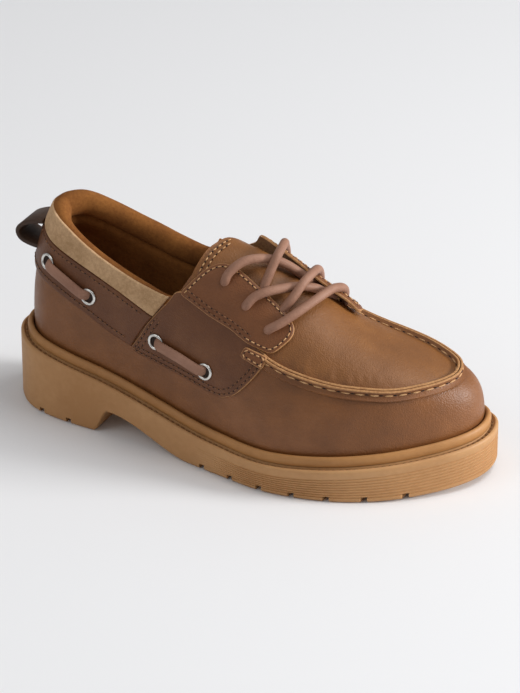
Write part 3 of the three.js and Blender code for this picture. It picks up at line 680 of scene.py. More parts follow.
def swept(path: Array, normals: Array, section: Sequence[tuple[float, float]],
          marks: Sequence[int] | None = None) -> Sheet:
    """Bar of one closed section along a path.

    Args:
        path: Points of the path.
        normals: Outward direction at each of them.
        section: Section's corners, across the path and outwards.
        marks: A material number for each side of the section.

    Returns:
        The closed bar.
    """
    travel = unit(np.gradient(path, axis=0))
    across = unit(np.cross(normals, travel))
    up = unit(np.cross(travel, across))
    ring = np.array(section)
    points = (path[:, None] + across[:, None] * ring[None, :, :1] + up[:, None] * ring[None, :, 1:])
    count = len(ring)
    faces: list[tuple[int, ...]] = []
    numbers: list[int] = []
    for i in range(len(path) - 1):
        for k in range(count):
            j = (k + 1) % count
            faces.append((i * count + k, i * count + j, (i + 1) * count + j, (i + 1) * count + k))
            numbers.append(marks[k] if marks else 0)
    faces.append(tuple(range(count))[::-1])
    faces.append(tuple(range((len(path) - 1) * count, len(path) * count)))
    numbers += [0, 0]
    return Sheet(points.reshape(-1, 3), faces, numbers)


def oval(half: float, thick: float, sides: int) -> list[tuple[float, float]]:
    """Corners of an oval section, from its half width and half thickness."""
    angles = np.linspace(0, 2 * math.pi, sides, endpoint=False)
    return [(half * math.cos(angle), thick * math.sin(angle)) for angle in angles]


def tube(path: Array, radius: float, sides: int = 18) -> Sheet:
    """Round cord along a path.

    Args:
        path: Its points.
        radius: Its radius.
        sides: Corners of its section.

    Returns:
        The closed cord.
    """
    travel = unit(np.gradient(path, axis=0))
    side = np.cross(travel[0], (0.0, 0.0, 1.0))
    normals = []
    for step in travel:
        side = side - step * np.dot(side, step)
        side = side / np.linalg.norm(side)
        normals.append(side)
    return swept(path, np.array(normals), oval(radius, radius, sides))


def ring_faces(count: int, sides: int) -> list[tuple[int, ...]]:
    """Faces of a closed ring of sections.

    Args:
        count: Number of sections.
        sides: Corners of each.

    Returns:
        The faces, section by section.
    """
    faces = []
    for i in range(count):
        j = (i + 1) % count
        for k in range(sides):
            n = (k + 1) % sides
            faces.append((i * sides + k, j * sides + k, j * sides + n, i * sides + n))
    return faces


def grid_over(outline: Array, across: float, up: float) -> Array:
    """Grid of places over an outline's box, at two distances."""
    low, high = outline.min(axis=0), outline.max(axis=0)
    grid = np.meshgrid(np.arange(low[0], high[0], across), np.arange(low[1], high[1], up))
    return np.stack(grid, -1).reshape(-1, 2)


def filled(outline: Array, spots: Array) -> tuple[Array, list[tuple[int, ...]], list[list[int]]]:
    """Fills a closed outline with triangles.

    Args:
        outline: The outline's points.
        spots: Points inside it.

    Returns:
        Places of the corners, the faces, and the given points that each corner stands for.
    """
    flat = [Vector(point) for point in np.vstack([outline, spots])]
    found = delaunay_2d_cdt(flat, [], [list(range(len(outline)))], 1, 1e-5)
    return np.array([v[:] for v in found[0]]), [tuple(face) for face in found[2]], found[3]


def made_plain(piece: bpy.types.Object) -> bpy.types.Mesh:
    """Turns a piece with its modifiers into a plain mesh.

    Args:
        piece: The piece; it keeps no modifier.

    Returns:
        Its new mesh.
    """
    graph = bpy.context.evaluated_depsgraph_get()
    result = bpy.data.meshes.new_from_object(piece.evaluated_get(graph))
    piece.modifiers.clear()
    before, piece.data = piece.data, result
    bpy.data.meshes.remove(before)
    return result


def joined(sheets: Sequence[Sheet], marks: Sequence[int] | None = None) -> Sheet:
    """Several closed sheets as one.

    Args:
        sheets: The sheets.
        marks: A material number for each.

    Returns:
        One sheet.
    """
    points, faces, numbers, start = [], [], [], 0
    for n, sheet in enumerate(sheets):
        points.append(sheet.points)
        faces += [tuple(i + start for i in face) for face in sheet.faces]
        numbers += sheet.marks if marks is None else [marks[n]] * len(sheet.faces)
        start += len(sheet.points)
    return Sheet(np.vstack(points), faces, numbers)


# Finishes


def linear(code: str) -> tuple[float, float, float, float]:
    """Colour of a web code as linear numbers.

    Args:
        code: The web code.

    Returns:
        Red, green, blue and 1.
    """
    channels = [int(code[i:i + 2], 16) / 255 for i in (1, 3, 5)]
    values = [c / 12.92 if c <= 0.04045 else ((c + 0.055) / 1.055) ** 2.4 for c in channels]
    return (*values, 1.0)


def add_node(tree: bpy.types.NodeTree, kind: str, **values: object) -> bpy.types.Node:
    """Adds a node to a tree and sets its properties.

    Args:
        tree: The tree.
        kind: The node's type.
        **values: Its properties.

    Returns:
        The node.
    """
    made = tree.nodes.new(kind)
    for key, value in values.items():
        setattr(made, key, value)
    return made


class NodeBoard:
    """Short way to lay out a material's nodes."""

    def __init__(self, name: str) -> None:
        """Starts a material with one shader."""
        self.material = bpy.data.materials.new(name)
        self.material.use_nodes = True
        self.tree = self.material.node_tree
        self.tree.nodes.clear()
        self.shader = self.node("ShaderNodeBsdfPrincipled")
        output = self.node("ShaderNodeOutputMaterial")
        self.link(self.shader.outputs[0], output.inputs["Surface"])
        self.place = self.node("ShaderNodeTexCoord").outputs["Object"]

    def node(self, kind: str, **values: object) -> bpy.types.Node:
        """Adds a node and sets its properties."""
        return add_node(self.tree, kind, **values)

    def link(self, start: Socket, end: Socket) -> None:
        """Joins two sockets."""
        self.tree.links.new(start, end)

    def noise(self, scale: float, detail: float = 3.0, rough: float = 0.55) -> Socket:
        """Soft random pattern.

        Args:
            scale: Its features in a metre.
            detail: How fine it goes.
            rough: Weight of the fine part.

        Returns:
            The pattern.
        """
        made = self.node("ShaderNodeTexNoise")
        for key, value in (("Scale", scale), ("Detail", detail), ("Roughness", rough)):
            made.inputs[key].default_value = value
        self.link(self.place, made.inputs["Vector"])
        return made.outputs["Fac"]

    def cells(self, scale: float) -> Socket:
        """Pebbled pattern, as on grained leather."""
        made = self.node("ShaderNodeTexVoronoi", feature="SMOOTH_F1")
        made.inputs["Scale"].default_value = scale
        made.inputs["Smoothness"].default_value = 0.46
        self.link(self.place, made.inputs["Vector"])
        return made.outputs["Distance"]

    def range(self, source: Socket, low: float, high: float,
              start: float, end: float) -> Socket:
        """Maps a pattern from low..high to start..end.

        Args:
            source: The pattern.
            low: Its low value.
            high: Its high value.
            start: What low becomes.
            end: What high becomes.

        Returns:
            The new pattern.
        """
        made = self.node("ShaderNodeMapRange")
        self.link(source, made.inputs["Value"])
        for key, value in (("From Min", low), ("From Max", high), ("To Min", start), ("To Max", end)):
            made.inputs[key].default_value = value
        return made.outputs["Result"]

    def sum(self, first: Socket, second: Socket,
            weight: float) -> Socket:
        """First pattern with a weighted second one added.

        Args:
            first: The first pattern.
            second: The second one.
            weight: The second one's weight.

        Returns:
            Their sum.
        """
        made = self.node("ShaderNodeMath", operation="MULTIPLY_ADD")
        self.link(second, made.inputs[0])
        made.inputs[1].default_value = weight
        self.link(first, made.inputs[2])
        return made.outputs[0]

    def ramp(self, source: Socket,
             stops: Sequence[tuple[float, str]]) -> Socket:
        """Colours along a pattern.

        Args:
            source: The pattern.
            stops: Places from 0 to 1 and web codes.

        Returns:
            The colour.
        """
        made = self.node("ShaderNodeValToRGB")
        band = made.color_ramp
        while len(band.elements) < len(stops):
            band.elements.new(0.5)
        for element, (place, code) in zip(band.elements, stops):
            element.position = place
            element.color = linear(code)
        self.link(source, made.inputs["Fac"])
        return made.outputs["Color"]

    def bump(self, source: Socket, depth: float) -> None:
        """Gives the shader a relief of so many millimetres."""
        made = self.node("ShaderNodeBump")
        made.inputs["Strength"].default_value = 1.0
        made.inputs["Distance"].default_value = depth * MM
        self.link(source, made.inputs["Height"])
        self.link(made.outputs["Normal"], self.shader.inputs["Normal"])

    def set(self, name: str, value: float | tuple[float, float, float, float]) -> None:
        """Sets one of the shader's own sockets."""
        self.shader.inputs[name].default_value = value


@dataclass(frozen=True)
class LeatherFinish:
    """Waxed pull-up leather: cloudy colour, fine grain, soft gloss."""

    name: str
    dark: str
    middle: str
    light: str
    roughness: float = 0.5
    grain: float = 0.12

    def make(self) -> bpy.types.Material:
        """Builds the material."""
        board = NodeBoard(self.name)
        clouds = board.sum(board.noise(34, 3), board.noise(110, 4, 0.6), 0.5)
        specks = board.noise(900, 3, 0.7)
        tone_range = board.range(board.sum(clouds, specks, 0.3), 0.5, 1.3, 0.0, 1.0)
        colour = board.ramp(tone_range, ((0.15, self.dark), (0.5, self.middle), (0.85, self.light)))
        board.link(colour, board.shader.inputs["Base Color"])
        board.link(board.range(clouds, 0.5, 1.0, self.roughness + 0.07, self.roughness - 0.07),
                   board.shader.inputs["Roughness"])
        grain = board.sum(board.cells(1500), board.noise(650, 5, 0.6), 1.2)
        board.bump(board.sum(grain, board.noise(130, 3), 0.9), self.grain)
        board.set("Specular IOR Level", 0.42)
        return board.material


@dataclass(frozen=True)
class NubuckFinish:
    """Brushed leather or cloth with a soft nap."""

    name: str
    dark: str
    light: str
    nap: float = 0.18

    def make(self) -> bpy.types.Material:
        """Builds the material."""
        board = NodeBoard(self.name)
        tone = board.sum(board.noise(60, 3), board.noise(620, 4, 0.75), 0.8)
        board.link(board.ramp(board.range(tone, 0.65, 1.15, 0, 1), ((0.1, self.dark), (0.9, self.light))),
                   board.shader.inputs["Base Color"])
        board.bump(board.sum(board.noise(900, 4, 0.8), board.noise(250, 3), 0.6), self.nap)
        board.set("Roughness", 0.93)
        board.set("Specular IOR Level", 0.2)
        board.set("Sheen Weight", 0.1)
        board.set("Sheen Roughness", 0.5)
        board.set("Sheen Tint", linear(self.light))
        return board.material


@dataclass(frozen=True)
class RubberFinish:
    """Moulded gum rubber with a satin skin."""

    name: str
    dark: str
    light: str

    def make(self) -> bpy.types.Material:
        """Builds the material."""
        board = NodeBoard(self.name)
        tone = board.sum(board.noise(18, 2), board.noise(240, 4, 0.6), 0.35)
        board.link(board.ramp(board.range(tone, 0.45, 0.95, 0, 1), ((0.1, self.dark), (0.9, self.light))),
                   board.shader.inputs["Base Color"])
        board.link(board.range(tone, 0.45, 0.95, 0.6, 0.5), board.shader.inputs["Roughness"])
        board.bump(board.sum(board.noise(700, 4, 0.6), board.noise(120, 2), 0.5), 0.05)
        board.set("Specular IOR Level", 0.4)
        board.set("Subsurface Weight", 0.06)
        board.set("Subsurface Radius", (1.0, 0.6, 0.35))
        board.set("Subsurface Scale", 0.003)
        return board.material


@dataclass(frozen=True)
class PlainFinish:
    """One tone with a little variation: metal, thread, cut edges and shadowed holes."""

    name: str
    dark: str
    light: str
    roughness: float
    metallic: float = 0.0
    relief: float = 0.03
    scale: float = 800.0

    def make(self) -> bpy.types.Material:
        """Builds the material."""
        board = NodeBoard(self.name)
        tone = board.noise(self.scale, 3, 0.6)
        board.link(board.ramp(board.range(tone, 0.3, 0.7, 0, 1), ((0.0, self.dark), (1.0, self.light))),
                   board.shader.inputs["Base Color"])
        board.bump(tone, self.relief)
        board.set("Roughness", self.roughness)
        board.set("Metallic", self.metallic)
        return board.material


class Finish(Enum):
    """The finishes of the shoe's pieces."""

    UPPER = LeatherFinish("upper_leather", "#6d4323", "#7a4b25", "#87552c", 0.46)
    SADDLE = LeatherFinish("saddle_leather", "#573117", "#63391b", "#704422", 0.5)
    APRON = LeatherFinish("apron_leather", "#70451e", "#7c4e24", "#89592c", 0.5)
    STAY = LeatherFinish("eyestay_leather", "#653a1a", "#71421f", "#7e4d27", 0.5)
    LOOP = LeatherFinish("loop_leather", "#2e1c10", "#3f2817", "#513521", 0.55)
    LACE = LeatherFinish("cord_finish", "#815a46", "#916954", "#a27862", 0.62, 0.07)
    BAND = NubuckFinish("brushed_tan_finish", "#a5835f", "#caa680", 0.25)
    LINING = NubuckFinish("collar_lining", "#6f421d", "#8d5a2a", 0.12)
    SOLE = RubberFinish("moulded_gum_finish", "#a97a4b", "#be9060")
    WELT = RubberFinish("welt_rubber", "#9a6b3c", "#b27f4a")
    NICKEL = PlainFinish("bright_nickel", "#c9c6c0", "#e6e4df", 0.22, 1.0, 0.01)
    THREAD = PlainFinish("gold_thread", "#b28454", "#d9ae7e", 0.7)
    DARK_THREAD = PlainFinish("brown_thread", "#5a371f", "#8a5d39", 0.7)
    WELT_THREAD = PlainFinish("welt_thread", "#7a5430", "#94683c", 0.7)
    RAW_EDGE = PlainFinish("cut_leather_edge", "#92633a", "#bd8d5a", 0.75)
    # Near-black finish that paints the shade inside eyelets, lace holes and stitch holes.
    HOLE_SHADE = PlainFinish("shadowed_hole", "#20130c", "#2e1c12", 0.9)

    def material(self) -> bpy.types.Material:
        """The finish's material, made the first time that it is asked for."""
        return bpy.data.materials.get(self.value.name) or self.value.make()


# Stitches by Geometry Nodes


@dataclass
class SeamRow:
    """One row of stitches: its path, outward directions and thread."""

    path: Array
    normals: Array
    pitch: float = 2.9
    length: float = 2.0
    radius: float = 0.33

    def between(self, step: float = 0.25) -> "SeamRow":
        """Dark dots of painted shade at the holes that lie between this row's stitches.

        Args:
            step: Distance between the path's new points.

        Returns:
            A row moved on by half a pitch.
        """
        both = even_steps(np.hstack([self.path, self.normals]), step)
        skip = int(round(self.pitch / 2 / step))
        both = both[skip:-skip]
        normals = unit(both[:, 3:])
        sunk = both[:, :3] - normals * 0.6 * self.radius
        return SeamRow(sunk, normals, self.pitch, 0.5 * self.length, 1.1 * self.radius)


@dataclass
class Sewing:
    """Sews rows of stitches along paths with one Geometry Nodes tree."""

    bench: Workbench
    seed: int = 7
    # Share by which the stitches differ in size
    unevenness: float = 0.1
    group: bpy.types.NodeTree = field(init=False)
    sockets: dict[str, str] = field(init=False)

    def __post_init__(self) -> None:
        """Builds the tree: paths to curves, even steps, a stitch at each step."""
        tree = bpy.data.node_groups.new("stitch_rows", "GeometryNodeTree")
        face = tree.interface
        face.new_socket("Geometry", in_out="INPUT", socket_type="NodeSocketGeometry")
        made = {name: face.new_socket(name, in_out="INPUT", socket_type=kind) for name, kind in (
            ("Pitch", "NodeSocketFloat"), ("Length", "NodeSocketFloat"),
            ("Radius", "NodeSocketFloat"), ("Unevenness", "NodeSocketFloat"),
            ("Thread", "NodeSocketMaterial"))}
        face.new_socket("Geometry", in_out="OUTPUT", socket_type="NodeSocketGeometry")
        self.sockets = {name: socket.identifier for name, socket in made.items()}
        self.group = tree

        node = partial(add_node, tree)
        start, curve = node("NodeGroupInput"), node("GeometryNodeMeshToCurve")
        steps = node("GeometryNodeResampleCurve", mode="LENGTH")
        out = node("GeometryNodeInputNamedAttribute", data_type="FLOAT_VECTOR")
        out.inputs["Name"].default_value = "outward"
        tangent = node("GeometryNodeInputTangent")
        along = node("FunctionNodeAlignRotationToVector", axis="X")
        upright = node("FunctionNodeAlignRotationToVector", axis="Z", pivot_axis="X")
        stitch, size = node("GeometryNodeMeshUVSphere"), node("ShaderNodeCombineXYZ")
        for key, value in (("Segments", 8), ("Rings", 6), ("Radius", 0.5)):
            stitch.inputs[key].default_value = value
        shaped = node("GeometryNodeTransform")
        uneven = node("FunctionNodeRandomValue", data_type="FLOAT_VECTOR")
        uneven.inputs["Seed"].default_value = self.seed
        low = node("ShaderNodeMath", operation="MULTIPLY_ADD")
        low.inputs[1].default_value = -1.0
        low.inputs[2].default_value = 1.0
        high = node("ShaderNodeMath", operation="ADD")
        high.inputs[1].default_value = 1.0
        spread = node("GeometryNodeInstanceOnPoints")
        real, smooth = node("GeometryNodeRealizeInstances"), node("GeometryNodeSetShadeSmooth")
        dressed, end = node("GeometryNodeSetMaterial"), node("NodeGroupOutput")
        for source, socket, target, into in (
                (start, "Geometry", curve, "Mesh"), (curve, "Curve", steps, "Curve"),
                (start, "Pitch", steps, "Length"), (tangent, "Tangent", along, "Vector"),
                (along, "Rotation", upright, "Rotation"), (out, "Attribute", upright, "Vector"),
                (start, "Length", size, "X"), (start, "Radius", size, "Y"), (start, "Radius", size, "Z"),
                (stitch, "Mesh", shaped, "Geometry"), (size, "Vector", shaped, "Scale"),
                (start, "Unevenness", low, 0), (start, "Unevenness", high, 0),
                (low, 0, uneven, "Min"), (high, 0, uneven, "Max"),
                (steps, "Curve", spread, "Points"), (shaped, "Geometry", spread, "Instance"),
                (upright, "Rotation", spread, "Rotation"), (uneven, "Value", spread, "Scale"),
                (spread, "Instances", real, "Geometry"), (real, "Geometry", smooth, "Geometry"),
                (smooth, "Geometry", dressed, "Geometry"), (start, "Thread", dressed, "Material"),
                (dressed, "Geometry", end, "Geometry")):
            tree.links.new(source.outputs[socket], target.inputs[into])

    def sew_with_hole_shade(self, name: str, rows: Sequence[SeamRow], finish: Finish, slot: str) -> None:
        """Makes rows of stitches, and dark dots of painted shade at the holes between them.

        Args:
            name: The piece's name.
            rows: The rows.
            finish: The thread.
            slot: The record's slot.
        """
        self.sew(name, rows, finish, slot)
        # The holes between the stitches get sunk dark dots of painted shade.
        self.sew(name.replace("stitches", "stitch_hole_shade"), [row.between() for row in rows],
                 Finish.HOLE_SHADE, slot)

    def sew(self, name: str, rows: Sequence[SeamRow], finish: Finish, slot: str) -> None:
        """Makes rows of stitches of one size as one piece.

        Args:
            name: The piece's name.
            rows: The rows; the first one's sizes hold for all.
            finish: The thread.
            slot: The record's slot.
        """
        points, outward, edges, start = [], [], [], 0
        for row in rows:
            points.append(self.bench.place(row.path))
            outward.append(row.normals)
            edges += [(start + i, start + i + 1) for i in range(len(row.path) - 1)]
            start += len(row.path)
        mesh = bpy.data.meshes.new(name)
        mesh.from_pydata(np.vstack(points).tolist(), edges, [])
        mesh.attributes.new("outward", "FLOAT_VECTOR", "POINT").data.foreach_set(
            "vector", np.vstack(outward).astype(np.float32).ravel())
        piece = bpy.data.objects.new(name, mesh)
        bpy.context.scene.collection.objects.link(piece)
        modifier = piece.modifiers.new("stitches", "NODES")
        modifier.node_group = self.group
        first = rows[0]
        for key, value in (("Pitch", first.pitch * MM), ("Length", first.length * MM),
                           ("Radius", 2 * first.radius * MM), ("Unevenness", self.unevenness),
                           ("Thread", finish.material())):
            modifier[self.sockets[key]] = value
        made_plain(piece).name = name
        self.bench.register(piece, slot)


# Pieces of the shoe


@dataclass
class Sole:
    """Rubber outsole with heel block, arch, ribbed forefoot side and lugs, and its welt."""

    bench: Workbench
    sewing: Sewing
    edge_bevel: float = 1.6
    rib_count: int = 8
    rib_depth: float = 0.42
    ribbed_share: float = 0.8
    smooth_band: float = 4.0
    top_round: float = 1.4
    seam_groove: float = 1.2
    groove_slope: float = 0.6
    tread_width: float = 3.0
    tread_depth: float = 3.0
    tread_pitch: float = 16.4
    heel_tread_start: float = 22.5
    fore_tread_start: float = 117.0
    welt_inset: float = 3.4
    welt_height: float = 5.2
    stations: int = 200
    crisp: float = 38.0

    def profile(self) -> list[tuple[Curve, Curve]]:
        """Rows of the sole's side from its foot to its top.

        Returns:
            For each row its inset and its height, as functions of the place along the shoe.
        """
        last = self.bench.last
        top, foot = last.top_height, last.bottom_height

        def steady(inset: float) -> Curve:
            """The same inset all along."""
            return lambda x: np.full_like(x, inset)

        def between(share: float) -> Curve:
            """Height at a share of the ribbed part."""
            return lambda x: (foot(x) + self.edge_bevel) * (1 - share) + share * (
                top(x) - self.smooth_band - 0.5)

        def ribbed(depth: float) -> Curve:
            """Inset that fades out towards the heel."""
            return lambda x: depth * ease(0.44 * last.length, 0.6 * last.length, x)

        rows = [(steady(self.edge_bevel), foot)]
        for share in (0.35, 0.7):
            turn = share * math.pi / 2
            rows.append((steady(self.edge_bevel * (1 - math.sin(turn))),
                         lambda x, t=turn: foot(x) + self.edge_bevel * (1 - math.cos(t))))
        rows.append((steady(0.0), lambda x: foot(x) + self.edge_bevel))
        for rib in range(self.rib_count):
            for part, depth in ((0.2, 0.0), (0.45, 0.0), (0.62, 1.0), (0.85, 1.0)):
                rows.append((ribbed(self.rib_depth * depth), between((rib + part) / self.rib_count)))
        rows.append((steady(0.0), lambda x: top(x) - self.smooth_band))
        for share in (0.0, 0.3, 0.6, 0.85, 1.0):
            turn = share * math.pi / 2
            rows.append((steady(self.top_round * (1 - math.cos(turn))),
                         lambda x, t=turn: top(x) - self.top_round * (1 - math.sin(t))))
        groove = self.top_round + self.groove_slope
        rows += [
            (steady(groove), lambda x: top(x) - 0.75 * self.seam_groove),
            (steady(groove + 0.3), lambda x: top(x) - self.seam_groove),
            (steady(self.welt_inset), lambda x: top(x) - self.seam_groove),
            (steady(self.welt_inset + 0.4), top),
        ]
        return rows

    def build(self) -> None:
        """Makes the outsole with its lugs, the welt and the welt's stitches."""
        last = self.bench.last
        angles = np.linspace(0, 360, 2 * self.stations, endpoint=False)
        nominal = last.edge(angles, 0)[:, 0]
        rings = []
        for inset, height in self.profile():
            place = last.edge(angles, inset(nominal))
            rings.append(np.column_stack([place, height(place[:, 0])]))
        count, levels = len(angles), len(rings)
        faces: list[tuple[int, ...]] = []
        for level in range(levels - 1):
            for i in range(count):
                j = (i + 1) % count
                faces.append((level * count + i, level * count + j,
                              (level + 1) * count + j, (level + 1) * count + i))
        for level in (0, levels - 1):
            for i in range(count // 2):
                ends = (i, i + 1, (count - i - 1) % count, (count - i) % count)
                face = tuple(dict.fromkeys(level * count + end for end in ends))
                if len(face) > 2:
                    faces.append(face if level else face[::-1])
        sole = self.bench.piece("outsole", Sheet(np.vstack(rings), faces), [Finish.SOLE], "gum_rubber",
                                ["sole"], self.crisp)
        self.cut_lugs(sole)
        self.welt()

    def cut_lugs(self, sole: bpy.types.Object) -> None:
        """Cuts the grooves between the lugs across the heel and the forefoot.

        Args:
            sole: The outsole.
        """
        last = self.bench.last
        places = [*np.arange(self.heel_tread_start, last.heel_reach - 2 * self.tread_width,
                             self.tread_pitch),
                  *np.arange(self.fore_tread_start, 0.95 * last.length, self.tread_pitch)]
        points, faces = [], []
        for x in places:
            depth = float(last.bottom_height(x)) + self.tread_depth
            start = len(points)
            for dx in (-1, 1):
                for y in (-last.ball_width, last.ball_width):
                    for z in (-5.0, depth):
                        points.append((x + dx * self.tread_width / 2, y, z))
            faces += [tuple(start + i for i in face) for face in (
                (0, 1, 3, 2), (4, 6, 7, 5), (0, 4, 5, 1), (2, 3, 7, 6), (0, 2, 6, 4), (1, 5, 7, 3))]
        mesh = bpy.data.meshes.new("lug_grooves")
        mesh.from_pydata(self.bench.place(np.array(points)).tolist(), [], faces)
        cutter = bpy.data.objects.new("lug_grooves", mesh)
        bpy.context.scene.collection.objects.link(cutter)
        modifier = sole.modifiers.new("lugs", "BOOLEAN")
        modifier.operation = "DIFFERENCE"
        modifier.solver = "EXACT"
        modifier.object = cutter
        result = made_plain(sole)
        bpy.data.objects.remove(cutter)
        result.polygons.foreach_set("use_smooth", [True] * len(result.polygons))
        result.set_sharp_from_angle(angle=math.radians(self.crisp))

    def welt(self) -> None:
        """Makes the rounded welt round the upper's foot and the thread in its groove."""
        last = self.bench.last
        start, height = self.welt_inset, self.welt_height
        width = last.feather_inset - 0.5 - start
        section = [(start + 0.3, 0.3), (start, 0.3 * height)]
        for turn in np.linspace(15, 165, 9):
            angle = math.radians(turn)
            section.append((start + width * (1 - math.cos(angle)) / 2,
                            height * (0.5 + 0.5 * math.sin(angle))))
        section += [(last.feather_inset - 0.5, 0.4 * height), (last.feather_inset - 0.5, 0.3)]
        angles = np.linspace(0, 360, 2 * self.stations, endpoint=False)
        base = last.top_height(last.edge(angles, self.welt_inset)[:, 0])
        top = np.stack([np.column_stack([last.edge(angles, inset), base + up])
                        for inset, up in section], axis=1)
        self.bench.piece("welt_bead", Sheet(top.reshape(-1, 3), ring_faces(*top.shape[:2])),
                         [Finish.WELT], "gum_rubber", ["welt"])
        inset = (self.top_round + self.groove_slope + self.welt_inset) / 2 + 0.2
        ring = np.append(angles, 360.0)
        path = np.column_stack([last.edge(ring, inset), last.top_height(
            last.edge(ring, self.welt_inset)[:, 0]) - self.seam_groove + 0.35])
        up = np.tile((0.0, 0.0, 1.0), (len(path), 1))
        self.sewing.sew("welt_stitches", [SeamRow(path, up, 3.3, 2.6, 0.45)],
                        Finish.WELT_THREAD, "gum_rubber")


@dataclass
class Panel:
    """Flat-cut leather overlay with rounded corners, laid on one side of the last.

    Its outline is given in side view, as shares of the shoe's length and instep height.
    """

    bench: Workbench
    side: int
    outline: Outline
    thickness: float = 1.3
    rest: float = 0.3
    rounding: int = 5
    raised: bool = False
    spacing: float = 1.6
    # Share of the length from where the medial side, which is longer, is stretched
    pivot: float = 0.4
    # The edge's rings: distance inwards, share of the thickness
    edge_rings: tuple[tuple[float, float], ...] = ((0.0, 0.5), (0.35, 0.88), (0.9, 1.0))
    stitch_height: float = 0.12
    grid_room: float = 0.8
    line: Array = field(init=False)

    def __post_init__(self) -> None:
        """Places the outline on its side of the shoe."""
        self.line = rounded([self.spot(*place) for place in self.outline], 1.0, self.rounding)

    def spot(self, along: float, up: float) -> tuple[float, float]:
        """Place in side view of shares of the length and of the instep height.

        Args:
            along: Share of the length.
            up: Share of the instep height.

        Returns:
            The place in millimetres.
        """
        last = self.bench.last
        stretch = last.medial_stretch if self.side > 0 and along > self.pivot else 1
        return (self.pivot + (along - self.pivot) * stretch) * last.length, up * last.instep_height

    def tree(self) -> BVHTree:
        """The surface that the panel lies on."""
        return self.bench.last.stay_trees[self.side] if self.raised else self.bench.last.tree

    def on(self, places: Array) -> tuple[Array, Array]:
        """Points and normals at places of the side view."""
        return self.bench.last.from_side(places, self.side, self.tree())

    def inset(self, line: Array, distance: float) -> Array:
        """Moves a closed line inwards along the surface.

        Args:
            line: Places in side view.
            distance: How far it moves.

        Returns:
            The moved places in side view.
        """
        points, normals = self.on(line)
        travel = np.roll(points, -1, axis=0) - np.roll(points, 1, axis=0)
        x, z = self.line[:, 0], self.line[:, 1]
        turning = np.sum(x * np.roll(z, -1) - np.roll(x, -1) * z)
        inwards = unit(np.cross(normals, unit(travel))) * np.sign(turning) * -self.side
        moved, _ = self.bench.last.nearest(self.tree(), points + inwards * distance)
        return self.bench.last.to_side(moved)

    def build(self, name: str, finish: Finish, slot: str, replaces: Sequence[str]) -> None:
        """Makes the panel with a rounded, cut edge.

        Args:
            name: The piece's name.
            finish: The leather.
            slot: The record's slot.
            replaces: The frame's nodes that it stands for.
        """
        (_, rim_share), (bevel, bevel_share), (flat_from, full_share) = self.edge_rings
        rings = [self.line, self.inset(self.line, bevel), self.inset(self.line, flat_from)]
        inner = rings[-1]
        grid = grid_over(inner, self.spacing, 0.8 * self.spacing)
        grid = grid[inside(grid, self.inset(inner, self.grid_room))]
        count = len(inner)
        places, faces, origins = filled(inner, grid)
        first = {ids[0]: n for n, ids in enumerate(origins) if ids}
        ring_ids = [first.get(i) for i in range(count)]
        if None in ring_ids:
            near = np.linalg.norm(places[None] - inner[:, None], axis=2).argmin(axis=1)
            ring_ids = [int(i) for i in near]
        start = len(places)
        everything = np.vstack([places, rings[1], rings[0]])
        points, normals = self.on(everything)
        heights = np.repeat([full_share, bevel_share, rim_share], [start, count, count])
        top = points + normals * (self.rest + self.thickness * heights)[:, None]
        under = points + normals * self.rest
        marks = [0] * len(faces)
        ring = [ring_ids, list(range(start, start + count)),
                list(range(start + count, start + 2 * count))]
        for lower, upper, mark in ((ring[1], ring[0], 0), (ring[2], ring[1], 1)):
            for i in range(count):
                j = (i + 1) % count
                faces.append((lower[i], lower[j], upper[j], upper[i]))
                marks.append(mark)
        total = len(everything)
        closed = faces + [tuple(i + total for i in face[::-1]) for face in faces]
        marks = marks + [1] * len(faces)
        for i in range(count):
            j = (i + 1) % count
            closed.append((ring[2][i], ring[2][j], ring[2][j] + total, ring[2][i] + total))
            marks.append(1)
        self.bench.piece(name, Sheet(np.vstack([top, under]), closed, marks),
                         [finish, Finish.RAW_EDGE], slot, replaces, 60)

    def row(self, start: tuple[float, float], end: tuple[float, float], inset: float,
            **sizes: float) -> SeamRow:
        """Stitch row beside the outline, between two of its places.

        Args:
            start: Share of the length and of the instep height where it starts.
            end: The same for its end; the row runs on from start in the outline's order.
            inset: Distance from the edge.
            **sizes: Pitch, length and radius of the stitches.

        Returns:
            The row.
        """
        def nearest(place: tuple[float, float]) -> int:
            """Number of the outline's point nearest to a place."""
            return int(np.linalg.norm(self.line - np.array(self.spot(*place)), axis=1).argmin())

        a, b = nearest(start), nearest(end)
        count = len(self.line)
        order = [(a + i) % count for i in range((b - a) % count + 1)]
        moved = self.inset(self.line, inset)[order]
        for _ in range(3):
            moved[1:-1] = (moved[:-2] + 2 * moved[1:-1] + moved[2:]) / 4
        points, normals = self.on(moved)
        height = self.rest + self.thickness + self.stitch_height
        return SeamRow(points + normals * height, normals, **sizes)


@dataclass(frozen=True)
class Crease:
    """Soft trough in the leather, between two places of the side view."""

    start: tuple[float, float]
    end: tuple[float, float]
    width: float
    depth: float

    def depth_at(self, places: Array, last: Last) -> Array:
        """How deep the trough is at places of the side view.

        Args:
            places: Places in side view.
            last: The form.

        Returns:
            Depths in millimetres.
        """
        scale = np.array([last.length, last.instep_height])
        first, second = np.array(self.start) * scale, np.array(self.end) * scale
        run = second - first
        share = np.clip((places - first) @ run / (run @ run), 0, 1)
        away = np.linalg.norm(places - first - share[:, None] * run, axis=1)
        return self.depth * np.exp(-(away / self.width) ** 2)


